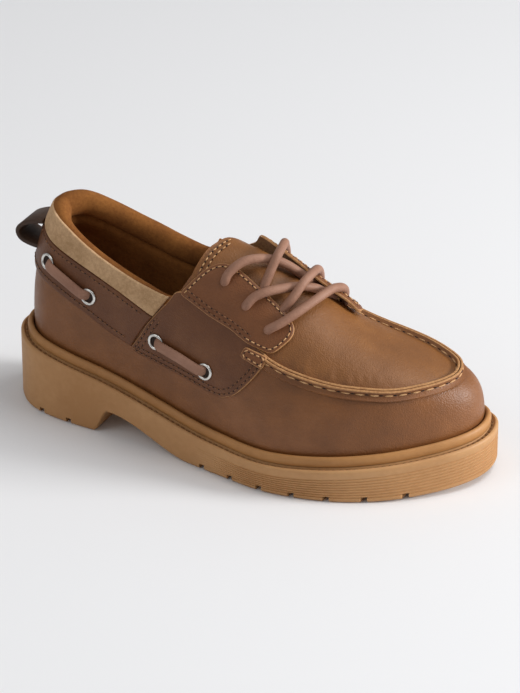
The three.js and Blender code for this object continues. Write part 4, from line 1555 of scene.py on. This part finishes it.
@dataclass
class Upper:
    """The shoe's leather body: lower shell, apron with tongue, and the raised seam."""

    bench: Workbench
    sewing: Sewing
    wall: float = 2.0
    seam_height: float = 3.2
    seam_wall: float = 1.15
    upright: float = 0.8
    # Turns between which the shell ends under the eyestay, and the highest share of its rim
    stay_turns: tuple[float, float] = (84.0, 102.0)
    highest_rim: float = 0.62
    apron_grid: float = 2.0
    apron_lift: float = 0.25
    seam = Table(("lateral", "medial"), (
        (102, 0.413, 0.53), (114, 0.436, 0.57), (128, 0.442, 0.585), (139, 0.449, 0.59),
        (151, 0.486, 0.59), (165, 0.525, 0.565), (180, 0.545, 0.545)))
    # Creases, in shares of the length and of the instep height
    creases = (
        Crease((0.3, 0.4), (0.36, 0.46), 5.0, 0.4), Crease((0.47, 0.33), (0.5, 0.42), 5.0, 0.45),
        Crease((0.585, 0.3), (0.6, 0.46), 4.5, 0.5), Crease((0.655, 0.29), (0.665, 0.44), 4.0, 0.55),
        Crease((0.715, 0.3), (0.73, 0.43), 4.0, 0.45), Crease((0.79, 0.32), (0.81, 0.42), 4.5, 0.4),
        Crease((0.62, 0.4), (0.64, 0.3), 2.2, -0.25), Crease((0.1, 0.45), (0.13, 0.66), 5.0, 0.35))
    # Tongue's top edge in plan: shares of the length and of the ball's width
    tongue_line = ((0.418, -0.212), (0.422, -0.19), (0.4285, -0.136), (0.4347, -0.077),
                   (0.4426, -0.028), (0.4496, 0.024), (0.4595, 0.071), (0.475, 0.107), (0.5, 0.136),
                   (0.53, 0.158), (0.57, 0.18), (0.62, 0.2))
    # Share where the shell ends under the eyestay, before the raised seam starts
    hidden_edge = Table(("lateral", "medial"), ((80, 0.62, 0.6), (92, 0.56, 0.56), (102, 0.413, 0.53)))

    def seam_share(self, angle: Array) -> Array:
        """Share of each hoop where the raised seam runs."""
        lateral, turn = turned(angle)
        return np.where(lateral, self.seam.value("lateral", turn), self.seam.value("medial", turn))

    def top_share(self, angle: Array) -> Array:
        """Share of each hoop where the lower shell ends.

        Args:
            angle: Round angles.

        Returns:
            Shares.
        """
        last = self.bench.last
        lateral, turn = turned(angle)
        rim = last.share_at(angle, last.rim_height)
        hidden = np.where(lateral, self.hidden_edge.value("lateral", turn),
                          self.hidden_edge.value("medial", turn))
        return np.where(turn < self.stay_turns[0], np.minimum(rim, self.highest_rim),
                        np.where(turn < self.stay_turns[1], hidden, self.seam_share(angle)))

    def relief(self, points: Array) -> Array:
        """Soft unevenness of worn leather, in millimetres.

        Args:
            points: Points of the last.

        Returns:
            Heights, with the creases taken off.
        """
        flat = points.reshape(-1, 3)
        worn = np.array([0.22 * noise(Vector(p) * 0.045) + 0.08 * noise(Vector(p) * 0.15) for p in flat])
        last = self.bench.last
        folds = sum(crease.depth_at(last.to_side(flat), last) for crease in self.creases)
        return (worn - folds).reshape(points.shape[:-1])

    def shell(self) -> None:
        """Makes the lower shell with its lining."""
        angles = np.arange(0.0, 360.0, 1.5)
        top = self.top_share(angles)
        rows = np.linspace(0, 1, 46)
        places = np.stack([np.repeat(angles[:, None], len(rows), axis=1), top[:, None] * rows], -1)
        points, normals = self.bench.last.points(places), self.bench.last.normal(places)
        bumps = self.relief(points)[..., None]
        sheet = thick_grid(points + normals * bumps, points - normals * self.wall, True, 1, 0)
        self.bench.piece("upper_shell", sheet, [Finish.UPPER, Finish.LINING], "leather", ["upper"])

    def seam_path(self, step: float = 1.2) -> tuple[Array, Array]:
        """Path of the raised seam from the lateral tab round the toe to the medial eyestay.

        Args:
            step: Distance between its points.

        Returns:
            Points and outward directions.
        """
        angles = np.linspace(100.5, 252, 330)
        places = np.stack([angles, self.seam_share(angles)], axis=-1)
        points = even_steps(self.bench.last.points(places), step)
        return self.bench.last.nearest(self.bench.last.tree, points)

    def tongue_edge(self) -> Array:
        """Places in plan of the tongue's top edge, from the lateral to the medial side."""
        last = self.bench.last
        return smooth_path([(along * last.length, across * last.ball_width)
                            for along, across in self.tongue_line], 1.2)

    def apron(self) -> None:
        """Makes the apron and tongue as one piece of leather."""
        seam_points, _ = self.seam_path()
        edge = self.tongue_edge()
        # The seam runs from the lateral side round the toe; the outline goes on back over the tongue
        outline = np.vstack([seam_points[:, :2], edge[::-1]])
        line = rounded(outline, 1.4, 2)
        grid = grid_over(line, self.apron_grid, self.apron_grid)
        grid = grid[inside(grid, line)]
        far = np.linalg.norm(grid[:, None] - line[None], axis=2).min(axis=1) > 0.9
        places, faces, _ = filled(line, grid[far])
        points, normals = self.bench.last.from_top(places)
        points = self.settle(points, faces)
        lift = self.apron_lift + self.relief(points)
        top = points + normals * lift[:, None]
        under = points - normals * (self.wall - 0.4)
        total = len(points)
        closed = faces + [tuple(i + total for i in face[::-1]) for face in faces]
        marks = [0] * len(faces) + [1] * len(faces)
        for a, b in self.border(faces):
            closed.append((a, b, b + total, a + total))
            marks.append(2)
        self.bench.piece("apron_and_tongue", Sheet(np.vstack([top, under]), closed, marks),
                         [Finish.APRON, Finish.LINING, Finish.RAW_EDGE], "leather", ["tongue"], 60)
        self.tongue_stitches(edge)

    def settle(self, points: Array, faces: Sequence[Sequence[int]], passes: int = 6) -> Array:
        """Evens out the heights of a mesh's inner points, so that no ridge shows.

        Args:
            points: The mesh's points.
            faces: Its faces.
            passes: How often they are evened.

        Returns:
            The moved points.
        """
        pairs = np.array([(face[i], face[i - 1]) for face in faces for i in range(3)])
        pairs = np.vstack([pairs, pairs[:, ::-1]])
        edge = np.array(sorted({i for pair in self.border(faces) for i in pair}))
        count = np.bincount(pairs[:, 0], minlength=len(points))
        settled = points.copy()
        for _ in range(passes):
            total = np.bincount(pairs[:, 0], weights=settled[pairs[:, 1], 2], minlength=len(points))
            mean = total / np.maximum(count, 1)
            mean[edge] = settled[edge, 2]
            settled[:, 2] = 0.5 * settled[:, 2] + 0.5 * mean
        return settled

    @staticmethod
    def border(faces: Sequence[Sequence[int]]) -> list[tuple[int, int]]:
        """Edges of a mesh that belong to one face only.

        Args:
            faces: The mesh's faces.

        Returns:
            Pairs of points.
        """
        seen: dict[tuple[int, int], list[tuple[int, int]]] = {}
        for face in faces:
            for i, corner in enumerate(face):
                pair = (corner, face[(i + 1) % len(face)])
                seen.setdefault(tuple(sorted(pair)), []).append(pair)
        return [pairs[0][::-1] for pairs in seen.values() if len(pairs) == 1]

    def tongue_stitches(self, edge: Array) -> None:
        """Sews the two rows along the tongue's top edge.

        Args:
            edge: Places in plan of that edge.
        """
        travel = unit(np.gradient(edge, axis=0))
        inwards = np.stack([travel[:, 1], -travel[:, 0]], axis=1)
        rows = []
        # Distance from the edge, and how far the row runs to the medial side
        for inset, reach in ((2.4, 4.0), (4.6, 1.0)):
            chosen = (edge[:, 1] < reach) & (np.arange(len(edge)) > 3)
            moved = (edge + inwards * inset)[chosen]
            points, normals = self.bench.last.from_top(moved)
            rows.append(SeamRow(points + normals * 0.5, normals))
        self.sewing.sew_with_hole_shade("tongue_stitches", rows, Finish.THREAD, "leather")

    def raised_seam(self) -> None:
        """Makes the two cut edges that stand side by side, and their long stitches."""
        path, normals = self.seam_path()
        normals = unit(normals + np.array([0.0, 0.0, self.upright]))
        wall, height = self.seam_wall, self.seam_height
        halves = []
        for sign, flare, rise in ((1, 2.0, height - 0.2), (-1, 2.6, height)):
            inner, outer = 0.22 * sign, (wall + 0.22) * sign
            section = [(inner, -1.0), (inner, rise - 0.15), (inner + 0.25 * sign, rise),
                       (outer - 0.25 * sign, rise), (outer, rise - 0.25), (outer, 0.9),
                       (outer + 0.3 * sign * flare, 0.35), (outer + sign * flare, -0.1),
                       (outer + sign * flare, -1.0)]
            marks = [1, 1, 1, 1, 0, 0, 0, 0, 0]
            halves.append(swept(path, normals, section, marks))
        for name, half, finish in (("seam_inner_edge", halves[0], Finish.APRON),
                                   ("seam_outer_edge", halves[1], Finish.UPPER)):
            self.bench.piece(name, half, [finish, Finish.RAW_EDGE], "leather")
        travel = unit(np.gradient(path, axis=0))
        across = unit(np.cross(normals, travel))
        rows = []
        for sign in (LATERAL, MEDIAL):
            out = across * sign
            proud = 0.42 if sign == LATERAL else 0.28
            spots = path + out * (wall + proud) + normals * 0.9
            rows.append(SeamRow(spots[3:-2], out[3:-2], 6.5, 4.3, 0.4))
        self.sewing.sew_with_hole_shade("apron_stitches", rows, Finish.THREAD, "leather")

    def build(self) -> None:
        """Makes every part of the body."""
        self.shell()
        self.apron()
        self.raised_seam()


@dataclass
class Collar:
    """Rear strip, nubuck band, padded lining roll and pull loop."""

    bench: Workbench
    sewing: Sewing
    rest: float = 0.3
    thickness: float = 1.3
    stitch_height: float = 0.12
    lining_ends: tuple[float, float] = (78.0, -79.0)
    lining_depth: float = 2.9
    # Round angles over which the roll sinks behind the band, and how far
    sinking: tuple[float, float] = (12.0, 42.0)
    sunk: float = 2.8
    loop_width: float = 16.5
    loop_thickness: float = 2.2
    strip_top = ((-0.05, 0.966), (0.076, 0.948), (0.114, 0.918), (0.157, 0.89), (0.197, 0.862),
                 (0.235, 0.83), (0.273, 0.8), (0.311, 0.763), (0.348, 0.725), (0.4, 0.69))
    strip_foot = ((-0.05, 0.75), (0.074, 0.736), (0.121, 0.705), (0.162, 0.671), (0.2, 0.633),
                  (0.237, 0.585), (0.275, 0.552), (0.3, 0.535), (0.36, 0.5))
    loop_side = ((0.065, 0.948), (0.044, 0.938), (0.02, 0.912), (0.009, 0.88), (0.014, 0.85),
                 (0.031, 0.835), (0.052, 0.828))
    # Shares of the length where the lower and the upper edge of strip and band end
    strip_front = (0.302, 0.351)
    band_front = (0.3515, 0.384)
    band_rise = 0.4
    row_levels = (0.14, 0.9)
    # Section of the lining at the rim: distance inwards, height over the rim
    roll = ((-0.9, -1.6), (-0.7, -0.2), (0.0, 1.2), (1.2, 2.2), (2.8, 2.6), (4.6, 2.1), (6.1, 0.7),
            (7.0, -1.4), (7.3, -3.6), (6.9, -5.8), (5.9, -7.6), (4.5, -8.8), (3.2, -9.3), (2.6, -9.9),
            (2.9, -10.8), (3.5, -12.4), (3.5, -14.2))

    def curve(self, rows: Outline, up: float = 0.0) -> Curve:
        """Height of a line of the side view at a place along the shoe.

        Args:
            rows: The line, in shares of the length and of the instep height.
            up: Height added to it.

        Returns:
            A function of the place along the shoe.
        """
        last = self.bench.last
        places = [row[0] * last.length for row in rows]
        heights = [row[1] * last.instep_height + up for row in rows]
        return lambda x: last.eased(x, places, heights)

    def front_turn(self, height: Curve, x: float, side: int) -> float:
        """Angle from the heel where a line of the side view reaches a place along the shoe.

        Args:
            height: The line.
            x: The place.
            side: The side of the shoe.

        Returns:
            The angle in degrees.
        """
        last = self.bench.last
        low, high = 20.0, 100.0
        for _ in range(24):
            middle = (low + high) / 2
            angle = np.array([middle if side < 0 else 360 - middle])
            share = last.share_at(angle, height)
            point = last.points(np.stack([angle, share], axis=-1))[0]
            low, high = (low, middle) if point[0] > x else (middle, high)
        return (low + high) / 2

    def strip(self, name: str, foot: Curve, top: Curve,
              front: tuple[float, float], finish: Finish, slot: str, node: str,
              rows: int = 18) -> Array:
        """Makes a strip of leather round the heel from side to side.

        Args:
            name: The piece's name.
            foot: Its lower edge in side view.
            top: Its upper edge in side view.
            front: Places along the shoe where the lower and the upper edge end.
            finish: The leather.
            slot: The record's slot.
            node: The frame's node that it stands for.
            rows: Rows of faces from edge to edge.

        Returns:
            The places of its grid on the last.
        """
        last = self.bench.last
        level = np.concatenate([[0.0, 0.02, 0.06], np.linspace(0.12, 0.88, rows), [0.94, 0.98, 1.0]])
        across = np.concatenate([[0.0, 0.003, 0.008], np.linspace(0.02, 0.98, 150), [0.992, 0.997, 1.0]])
        turns = {side: (self.front_turn(foot, front[0], side), self.front_turn(top, front[1], side))
                 for side in SIDE_WORDS}
        start = turns[LATERAL][0] + (turns[LATERAL][1] - turns[LATERAL][0]) * level
        end = -(turns[MEDIAL][0] + (turns[MEDIAL][1] - turns[MEDIAL][0]) * level)
        angle = start[None] + (end - start)[None] * across[:, None]
        low = last.share_at(angle, foot)
        high = last.share_at(angle, top)
        places = np.stack([angle, low + (high - low) * level[None]], axis=-1)
        points, normals = last.points(places), last.normal(places)
        round_up = np.interp(level, [0, 0.02, 0.06, 0.94, 0.98, 1], [0.5, 0.9, 1, 1, 0.9, 0.5])
        round_on = np.interp(across, [0, 0.003, 0.008, 0.992, 0.997, 1], [0.5, 0.9, 1, 1, 0.9, 0.5])
        height = self.rest + self.thickness * np.minimum(round_up[None], round_on[:, None])
        sheet = thick_grid(points + normals * height[..., None], points + normals * self.rest)
        self.bench.piece(name, sheet, [finish], slot, [node], 60)
        return places

    def edge_row(self, places: Array, level: float) -> SeamRow:
        """Stitch row along a strip, at a share of its height.

        Args:
            places: The strip's grid.
            level: The share, 0 at its foot.

        Returns:
            The row.
        """
        last = self.bench.last
        low, high = places[:, 0], places[:, -1]
        line = (low + (high - low) * level)[3:-3]
        normals = last.normal(line)
        height = self.rest + self.thickness + self.stitch_height
        return SeamRow(last.points(line) + normals * height, normals)

    def lining(self) -> None:
        """Makes the padded roll along the rim and the lining down to the footbed."""
        last = self.bench.last
        angles = np.linspace(*self.lining_ends, 150)
        rim_places = np.stack([angles, last.share_at(angles, last.rim_height)], axis=-1)
        rim = last.points(rim_places)
        out = last.normal(rim_places)
        out[:, 2] = 0
        out = unit(out)
        fade = 0.45 + 0.55 * ease(0, 1, (80 - np.abs(angles)) / 14)
        # On the lateral side only its edge shows over the band
        near = ease(*self.sinking, angles)[:, None]
        sink, slim = self.sunk * near, 1 - 0.2 * near
        rows = [rim - out * (inwards * fade[:, None] * slim) + np.array([0, 0, 1.0]) * (height - sink)
                for inwards, height in self.roll]
        foot_share = np.clip(rim_places[:, 1] - 0.17, 0.02, 1)
        for level in np.linspace(1, 0.04, 14):
            places = np.stack([angles, foot_share * level], axis=-1)
            rows.append(last.surface(places, np.full(len(angles), -self.lining_depth)))
        top = np.stack(rows, axis=1)
        shrink = unit(np.gradient(top, axis=1))
        sideways = unit(np.gradient(top, axis=0))
        inward = unit(np.cross(shrink, sideways))
        sheet = thick_grid(top, top + inward * 0.5)
        piece = self.bench.piece("lining_and_roll", sheet, [Finish.LINING], "lining", ["collar_roll"], 70)

    def pull_loop(self) -> None:
        """Makes the strap loop at the back of the heel."""
        last = self.bench.last
        line = smooth_path([(along * last.length, 0.0, up * last.instep_height)
                            for along, up in self.loop_side], 0.8)
        travel = unit(np.gradient(line, axis=0))
        normals = np.stack([travel[:, 2], np.zeros(len(line)), -travel[:, 0]], axis=1)
        half, thick = self.loop_width / 2, self.loop_thickness
        section = [(-half, 0.45), (-half + 0.5, 0.0), (half - 0.5, 0.0), (half, 0.45),
                   (half, thick - 0.45), (half - 0.5, thick), (-half + 0.5, thick),
                   (-half, thick - 0.45)]
        strap = swept(line, normals, section)
        self.bench.piece("heel_pull_loop", strap, [Finish.LOOP], "dark_leather", ["pull_loop"])

    def build(self) -> None:
        """Makes every part of the collar."""
        last = self.bench.last
        front = tuple(share * last.length for share in self.strip_front)
        strip_top = self.curve(self.strip_top)
        places = self.strip("rear_quarter_strip", self.curve(self.strip_foot), strip_top, front,
                            Finish.SADDLE, "dark_leather", "rear_strip")
        rows = [self.edge_row(places, level) for level in self.row_levels]
        self.sewing.sew_with_hole_shade("rear_strip_stitches", rows, Finish.DARK_THREAD, "dark_leather")
        band_front = tuple(share * last.length for share in self.band_front)
        self.strip("collar_nubuck", lambda x: strip_top(x) + self.band_rise,
                   lambda x: last.rim_height(x) + self.band_rise, band_front, Finish.BAND,
                   "band_nubuck", "collar_band", 10)
        self.lining()
        self.pull_loop()


@dataclass
class Facings:
    """Saddle, eyestay and tab of one side, with their stitches."""

    bench: Workbench
    sewing: Sewing
    side: int
    eyestay_outline = (
        (0.405, 0.865), (0.432, 0.94), (0.45, 0.978), (0.471, 0.993), (0.5, 0.982), (0.526, 0.953),
        (0.563, 0.901), (0.6, 0.843), (0.623, 0.803), (0.64, 0.77), (0.643, 0.742), (0.629, 0.71),
        (0.613, 0.678), (0.56, 0.712), (0.523, 0.757), (0.469, 0.8), (0.435, 0.835))
    # The medial eyestay is cut lower, because the throat lies to that side of the ridge
    medial_outline = (
        (0.405, 0.865), (0.44, 0.88), (0.462, 0.92), (0.474, 0.985), (0.483, 1.012), (0.497, 1.003),
        (0.517, 0.972), (0.542, 0.93), (0.567, 0.887), (0.588, 0.848), (0.608, 0.81), (0.625, 0.772),
        (0.64, 0.736), (0.652, 0.71), (0.65, 0.692), (0.638, 0.68), (0.613, 0.674), (0.56, 0.712),
        (0.523, 0.757), (0.469, 0.8), (0.435, 0.835))
    saddle_outline = (
        (0.302, 0.53), (0.312, 0.509), (0.35, 0.494), (0.427, 0.467), (0.493, 0.438), (0.519, 0.434),
        (0.548, 0.468), (0.568, 0.518), (0.586, 0.573), (0.611, 0.662), (0.56, 0.73), (0.523, 0.776),
        (0.469, 0.819), (0.435, 0.854), (0.412, 0.875), (0.396, 0.872), (0.386, 0.825), (0.354, 0.73),
        (0.34, 0.683), (0.325, 0.613))
    tab_outline = ((0.553, 0.655), (0.559, 0.7), (0.608, 0.668), (0.602, 0.615))

    def build(self) -> None:
        """Makes the overlays of this side."""
        word = SIDE_WORDS[self.side]
        saddle = Panel(self.bench, self.side, self.saddle_outline, rounding=4)
        saddle.build(f"saddle_panel_{word}", Finish.SADDLE, "dark_leather", [f"saddle_{word}"])
        outline = self.medial_outline if self.side > 0 else self.eyestay_outline
        stay = Panel(self.bench, self.side, outline, rest=1.0, raised=True, rounding=5)
        stay.build(f"eyestay_panel_{word}", Finish.STAY, "leather", [f"eyestay_{word}"])
        tab = Panel(self.bench, self.side, self.tab_outline, rest=1.9, rounding=2, spacing=1.2)
        tab.build(f"tab_strap_{word}", Finish.STAY, "leather", [f"tab_{word}"])
        back, foot, front = (0.354, 0.73), (0.302, 0.53), (0.605, 0.64)
        dark_rows = [saddle.row(back, foot, inset) for inset in (1.6, 4.0)]
        dark_rows += [saddle.row(foot, front, inset) for inset in (1.6, 4.0)]
        dark_rows += [stay.row((0.56, 0.712), (0.42, 0.86), inset) for inset in (1.6, 3.8)]
        self.sewing.sew_with_hole_shade(f"facing_stitches_{word}", dark_rows, Finish.DARK_THREAD, "dark_leather")
        edge_room = 1.7 if self.side < 0 else 3.2
        light_rows = [stay.row((0.415, 0.89), (0.56, 0.712), edge_room)]
        light_rows.append(tab.row((0.602, 0.62), (0.602, 0.63), 1.4))
        self.sewing.sew_with_hole_shade(f"edge_stitches_{word}", light_rows, Finish.THREAD, "leather")


@dataclass
class Lacing:
    """Eyelets with their side laces, and the crossed front lace."""

    bench: Workbench
    eyelet_radius: float = 4.3
    eyelet_hole: float = 2.75
    rest: float = 1.9
    lace_radius: float = 2.2
    flat_lace: tuple[float, float] = (2.7, 1.5)
    eyelets = ((32.7, 0.285), (52.9, 0.214), (73.6, 0.182), (87.1, 0.2))

    def place(self, side: int, turn: float, share: float, height: float) -> tuple[Array, Array]:
        """Point off the last, and its outward direction.

        Args:
            side: The side of the shoe.
            turn: Angle from the heel tip.
            share: Share from foot to spine.
            height: Distance off the last.

        Returns:
            The point and the direction.
        """
        spot = np.array([[turn if side < 0 else 360 - turn, share]])
        normal = self.bench.last.normal(spot)[0]
        return self.bench.last.points(spot)[0] + normal * height, normal

    def eyelet(self, side: int, number: int) -> None:
        """Makes one rolled metal eyelet with a dark disc of painted shade inside it.

        Args:
            side: The side of the shoe.
            number: Its number from the heel, from 0.
        """
        turn, share = self.eyelets[number]
        centre, normal = self.place(side, turn, share, self.rest - 0.25)
        first = unit(np.cross(normal, (0.0, 0.0, 1.0)))
        second = np.cross(normal, first)
        middle, tube_radius = (self.eyelet_radius + self.eyelet_hole) / 2, 0.78
        count, sides = 40, 12
        ring = []
        for i in range(count):
            turn_angle = 2 * math.pi * i / count
            out = first * math.cos(turn_angle) + second * math.sin(turn_angle)
            for k in range(sides):
                angle = 2 * math.pi * k / sides
                ring.append(centre + out * (middle + tube_radius * math.cos(angle))
                            + normal * (tube_radius * 0.8 * math.sin(angle) + 0.35))
        metal = Sheet(np.array(ring), ring_faces(count, sides))
        # Dark disc of painted shade inside the ring; the panel under it has no hole.
        dark = self.disc(centre + normal * 0.12, normal, middle)
        word = SIDE_WORDS[side]
        self.bench.piece(f"ring_{word}_{number + 1}", joined([metal, dark], [0, 1]),
                         [Finish.NICKEL, Finish.HOLE_SHADE], "nickel", [f"eyelet_{word}_{number + 1}"])

    def disc(self, centre: Array, normal: Array, radius: float) -> Sheet:
        """Thin closed disc, for the painted shade of a hole.

        Args:
            centre: Its middle.
            normal: The way that it faces.
            radius: Its radius.

        Returns:
            The disc.
        """
        first = unit(np.cross(normal, (0.0, 0.0, 1.0)))
        second = np.cross(normal, first)
        count, depth = 24, 0.15
        angles = np.linspace(0, 2 * math.pi, count, endpoint=False)
        rim = centre + radius * (np.cos(angles)[:, None] * first + np.sin(angles)[:, None] * second)
        faces = [tuple(range(count)), tuple(range(2 * count - 1, count - 1, -1))]
        faces += [(i, (i + 1) % count, (i + 1) % count + count, i + count) for i in range(count)]
        return Sheet(np.vstack([rim, rim - normal * depth]), faces, [0] * len(faces))

    def side_lace(self, side: int, word: str, start: int, end: int) -> None:
        """Makes the lace that lies on the leather from one eyelet to the next.

        Args:
            side: The side of the shoe.
            word: The lace's name.
            start: Number of its first eyelet.
            end: Number of its last eyelet.
        """
        first = self.place(side, *self.eyelets[start], 0.0)[0]
        last = self.place(side, *self.eyelets[end], 0.0)[0]
        lift = self.rest + self.flat_lace[1] - 0.1
        stops = ((0.0, -0.9), (0.02, 1.0), (0.08, lift), (0.2, lift + 0.3), (0.5, lift),
                 (0.8, lift + 0.2), (0.92, lift), (0.98, 1.0), (1.0, -0.9))
        # One outward direction for the whole lace, so that it lies straight
        ends = [self.place(side, *self.eyelets[at], 1.0)[1] for at in (start, end)]
        out = unit(ends[0] + ends[1])
        line = np.array([first + (last - first) * at + out * 30 for at, _ in stops])
        spots, _ = self.bench.last.hit(self.bench.last.tree, line, tuple(-out))
        points = spots + out * np.array([height for _, height in stops])[:, None]
        path = smooth_path(points, 0.6)
        cord = swept(path, np.tile(out, (len(path), 1)), oval(*self.flat_lace, 20))
        which = f"{word}_{SIDE_WORDS[side]}"
        self.bench.piece(f"side_cord_{which}", cord, [Finish.LACE], "lace_leather", [f"side_lace_{which}"])

    def front_lace(self) -> None:
        """Makes the runs of the front lace, from hole to hole over the tongue."""
        last = self.bench.last
        holes = ((118.3, -16.4), (130.7, -19.3), (143.2, -21.5))
        stay_top = 4.2
        # Stops of each run: place in plan and distance off the last
        runs = {
            "bar": [(*holes[2], -1.5), (144.2, -20.6, 2.8), (148.2, -17.4, 4.9), (152.8, -11.2, 5.5),
                    (156.5, -1.7, 6.0), (158.4, 7.5, 7.0), (159.5, 12.0, 7.2), (160.2, 16.5, 6.6),
                    (160.4, 20.5, 5.0), (160.5, 24.5, 0.5)],
            "first_under": [(158.8, 17.5, 0.4), (157.3, 13.5, 1.3), (155.7, 9.5, 1.9),
                            (153.2, 6.3, 2.6), (149.0, 1.0, 3.4), (145.0, -4.2, 4.4),
                            (139.0, -10.5, 5.6), (133.9, -15.0, 4.8), (131.4, -18.3, 2.8),
                            (*holes[1], -1.5)],
            "first_over": [(145.8, -14.5, -0.8), (147.1, -11.4, 1.6), (148.3, -6.8, 5.2),
                           (148.4, -0.8, 8.0), (148.5, 4.5, 8.4), (148.3, 9.0, 8.0),
                           (147.8, 13.0, 7.2), (147.4, 17.0, 6.6), (147.3, 21.0, 5.0),
                           (147.4, 24.5, 0.8)],
            "second_under": [(150.6, 17.5, 0.4), (149.4, 13.5, 1.3), (147.2, 9.6, 1.9),
                             (143.6, 6.6, 2.8), (138.9, 3.8, 3.8), (134.0, 0.6, 4.8),
                             (128.7, -3.7, 6.0), (123.6, -8.0, 6.2), (119.8, -12.8, 4.8),
                             (118.7, -15.4, 2.8), (*holes[0], -1.5)],
            "second_over": [(136.2, -13.0, -0.8), (135.6, -9.2, 1.8), (135.1, -3.9, 5.8),
                            (134.2, 0.6, 9.0), (133.1, 5.5, 9.4), (131.9, 9.5, 8.2),
                            (131.2, 12.3, 7.6), (130.7, 16.0, 7.2), (130.3, 20.5, 5.6),
                            (130.0, 24.0, 1.2)],
        }
        cords = []
        for stops in runs.values():
            spots, normals = last.from_top(np.array([stop[:2] for stop in stops]))
            heights = np.array([stop[2] for stop in stops])[:, None]
            cords.append(tube(smooth_path(spots + normals * heights, 0.7), self.lace_radius))
        self.bench.piece("crossed_lace", joined(cords), [Finish.LACE], "lace_leather", ["front_lace"])
        # Dark discs of painted shade in the punched lace holes.
        discs = []
        for x, y in holes:
            spot, normal = last.nearest(last.stay_trees[LATERAL], np.array([last.from_top(
                np.array([[x, y]]))[0][0]]))
            discs.append(self.disc(spot[0] + normal[0] * (stay_top - self.lace_radius), normal[0], 2.9))
        self.bench.piece("lace_hole_shade", joined(discs), [Finish.HOLE_SHADE], "leather")

    def build(self) -> None:
        """Makes all eyelets and laces."""
        for side, word in SIDE_WORDS.items():
            for number in range(len(self.eyelets)):
                self.eyelet(side, number)
            self.side_lace(side, "rear", 0, 1)
            self.side_lace(side, "front", 2, 3)
            log.info("laces of the %s side", word)
        self.front_lace()


# Floor, light and camera


@dataclass
class Studio:
    """Pale floor, soft light and the camera at the photograph's angle."""

    bench: Workbench
    azimuth: float = 26.923
    elevation: float = 29.0
    distance: float = 1800.0
    photo_scale: float = 1.303
    enlargement: float = 1.6
    frame_height: float = 693.0
    sensor: float = 36.0
    target: tuple[float, float, float] = (110.0, 0.0, 40.0)
    nudge: tuple[float, float] = (16.6, 5.5)

    def camera(self) -> None:
        """Sets up the camera; the nudge moves it right and up so that the shoe is centred."""
        turn, rise = math.radians(self.azimuth), math.radians(self.elevation)
        right = np.array([math.cos(turn), math.sin(turn), 0.0])
        forward = np.array([-math.sin(turn) * math.cos(rise), math.cos(turn) * math.cos(rise),
                            -math.sin(rise)])
        up = np.cross(right, forward)
        aim = np.array(self.target) + right * self.nudge[0] + up * self.nudge[1]
        data = bpy.data.cameras.new("camera")
        focal = self.photo_scale * self.enlargement * self.distance
        data.sensor_width = self.sensor
        data.lens = focal * self.sensor / self.frame_height
        data.clip_start, data.clip_end = 0.05, 20
        camera = bpy.data.objects.new("camera", data)
        camera.location = self.bench.place(aim - forward * self.distance)
        camera.rotation_mode = "QUATERNION"
        camera.rotation_quaternion = Vector(forward).to_track_quat("-Z", "Y")
        bpy.context.scene.collection.objects.link(camera)
        bpy.context.scene.camera = camera

    def light(self, name: str, place: tuple[float, float, float], size: float, power: float) -> None:
        """Adds one soft lamp aimed at the shoe; place is in metres.

        Args:
            name: Its name.
            place: Where it hangs.
            size: Its width.
            power: Its power in watts.
        """
        data = bpy.data.lights.new(name, "AREA")
        data.shape = "DISK"
        data.size = size
        data.energy = power
        lamp = bpy.data.objects.new(name, data)
        lamp.location = place
        lamp.rotation_mode = "QUATERNION"
        lamp.rotation_quaternion = (Vector((0, 0, 0.05)) - Vector(place)).to_track_quat("-Z", "Y")
        bpy.context.scene.collection.objects.link(lamp)

    def floor(self) -> None:
        """Lays the pale floor."""
        mesh = bpy.data.meshes.new("floor")
        half = 6.0
        mesh.from_pydata([(-half, -half, 0), (half, -half, 0), (half, half, 0), (-half, half, 0)], [],
                         [(0, 1, 2, 3)])
        board = NodeBoard("pale_floor")
        board.set("Base Color", linear("#ebebec"))
        board.set("Roughness", 0.8)
        board.set("Specular IOR Level", 0.2)
        mesh.materials.append(board.material)
        floor = bpy.data.objects.new("floor", mesh)
        bpy.context.scene.collection.objects.link(floor)

    def build(self) -> None:
        """Sets up floor, light and camera."""
        self.floor()
        world = bpy.data.worlds.new("soft_room")
        world.use_nodes = True
        background = world.node_tree.nodes["Background"]
        background.inputs["Color"].default_value = linear("#f3f4f6")
        background.inputs["Strength"].default_value = 0.4
        bpy.context.scene.world = world
        self.light("key_light", (0.6, 0.3, 1.4), 0.9, 9.0)
        self.light("toe_light", (2.1, 0.75, 0.75), 0.7, 52.0)
        self.light("fill_light", (-0.6, -0.9, 1.0), 0.9, 2.5)
        bpy.context.scene.view_settings.view_transform = "Standard"
        self.camera()


def dress_insole() -> None:
    """Gives the frame's own insole its lining."""
    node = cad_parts["insole"]
    node.data.materials.clear()
    node.data.materials.append(Finish.LINING.material())


def main() -> None:
    """Builds the shoe round its frame."""
    logging.basicConfig(level=logging.INFO, format="%(name)s: %(message)s")
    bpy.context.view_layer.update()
    bench = Workbench(Last())
    Studio(bench).build()
    sewing = Sewing(bench)
    Sole(bench, sewing).build()
    Upper(bench, sewing).build()
    Collar(bench, sewing).build()
    for side in SIDE_WORDS:
        Facings(bench, sewing, side).build()
    Lacing(bench).build()
    dress_insole()


if __name__ == "__main__":
    main()
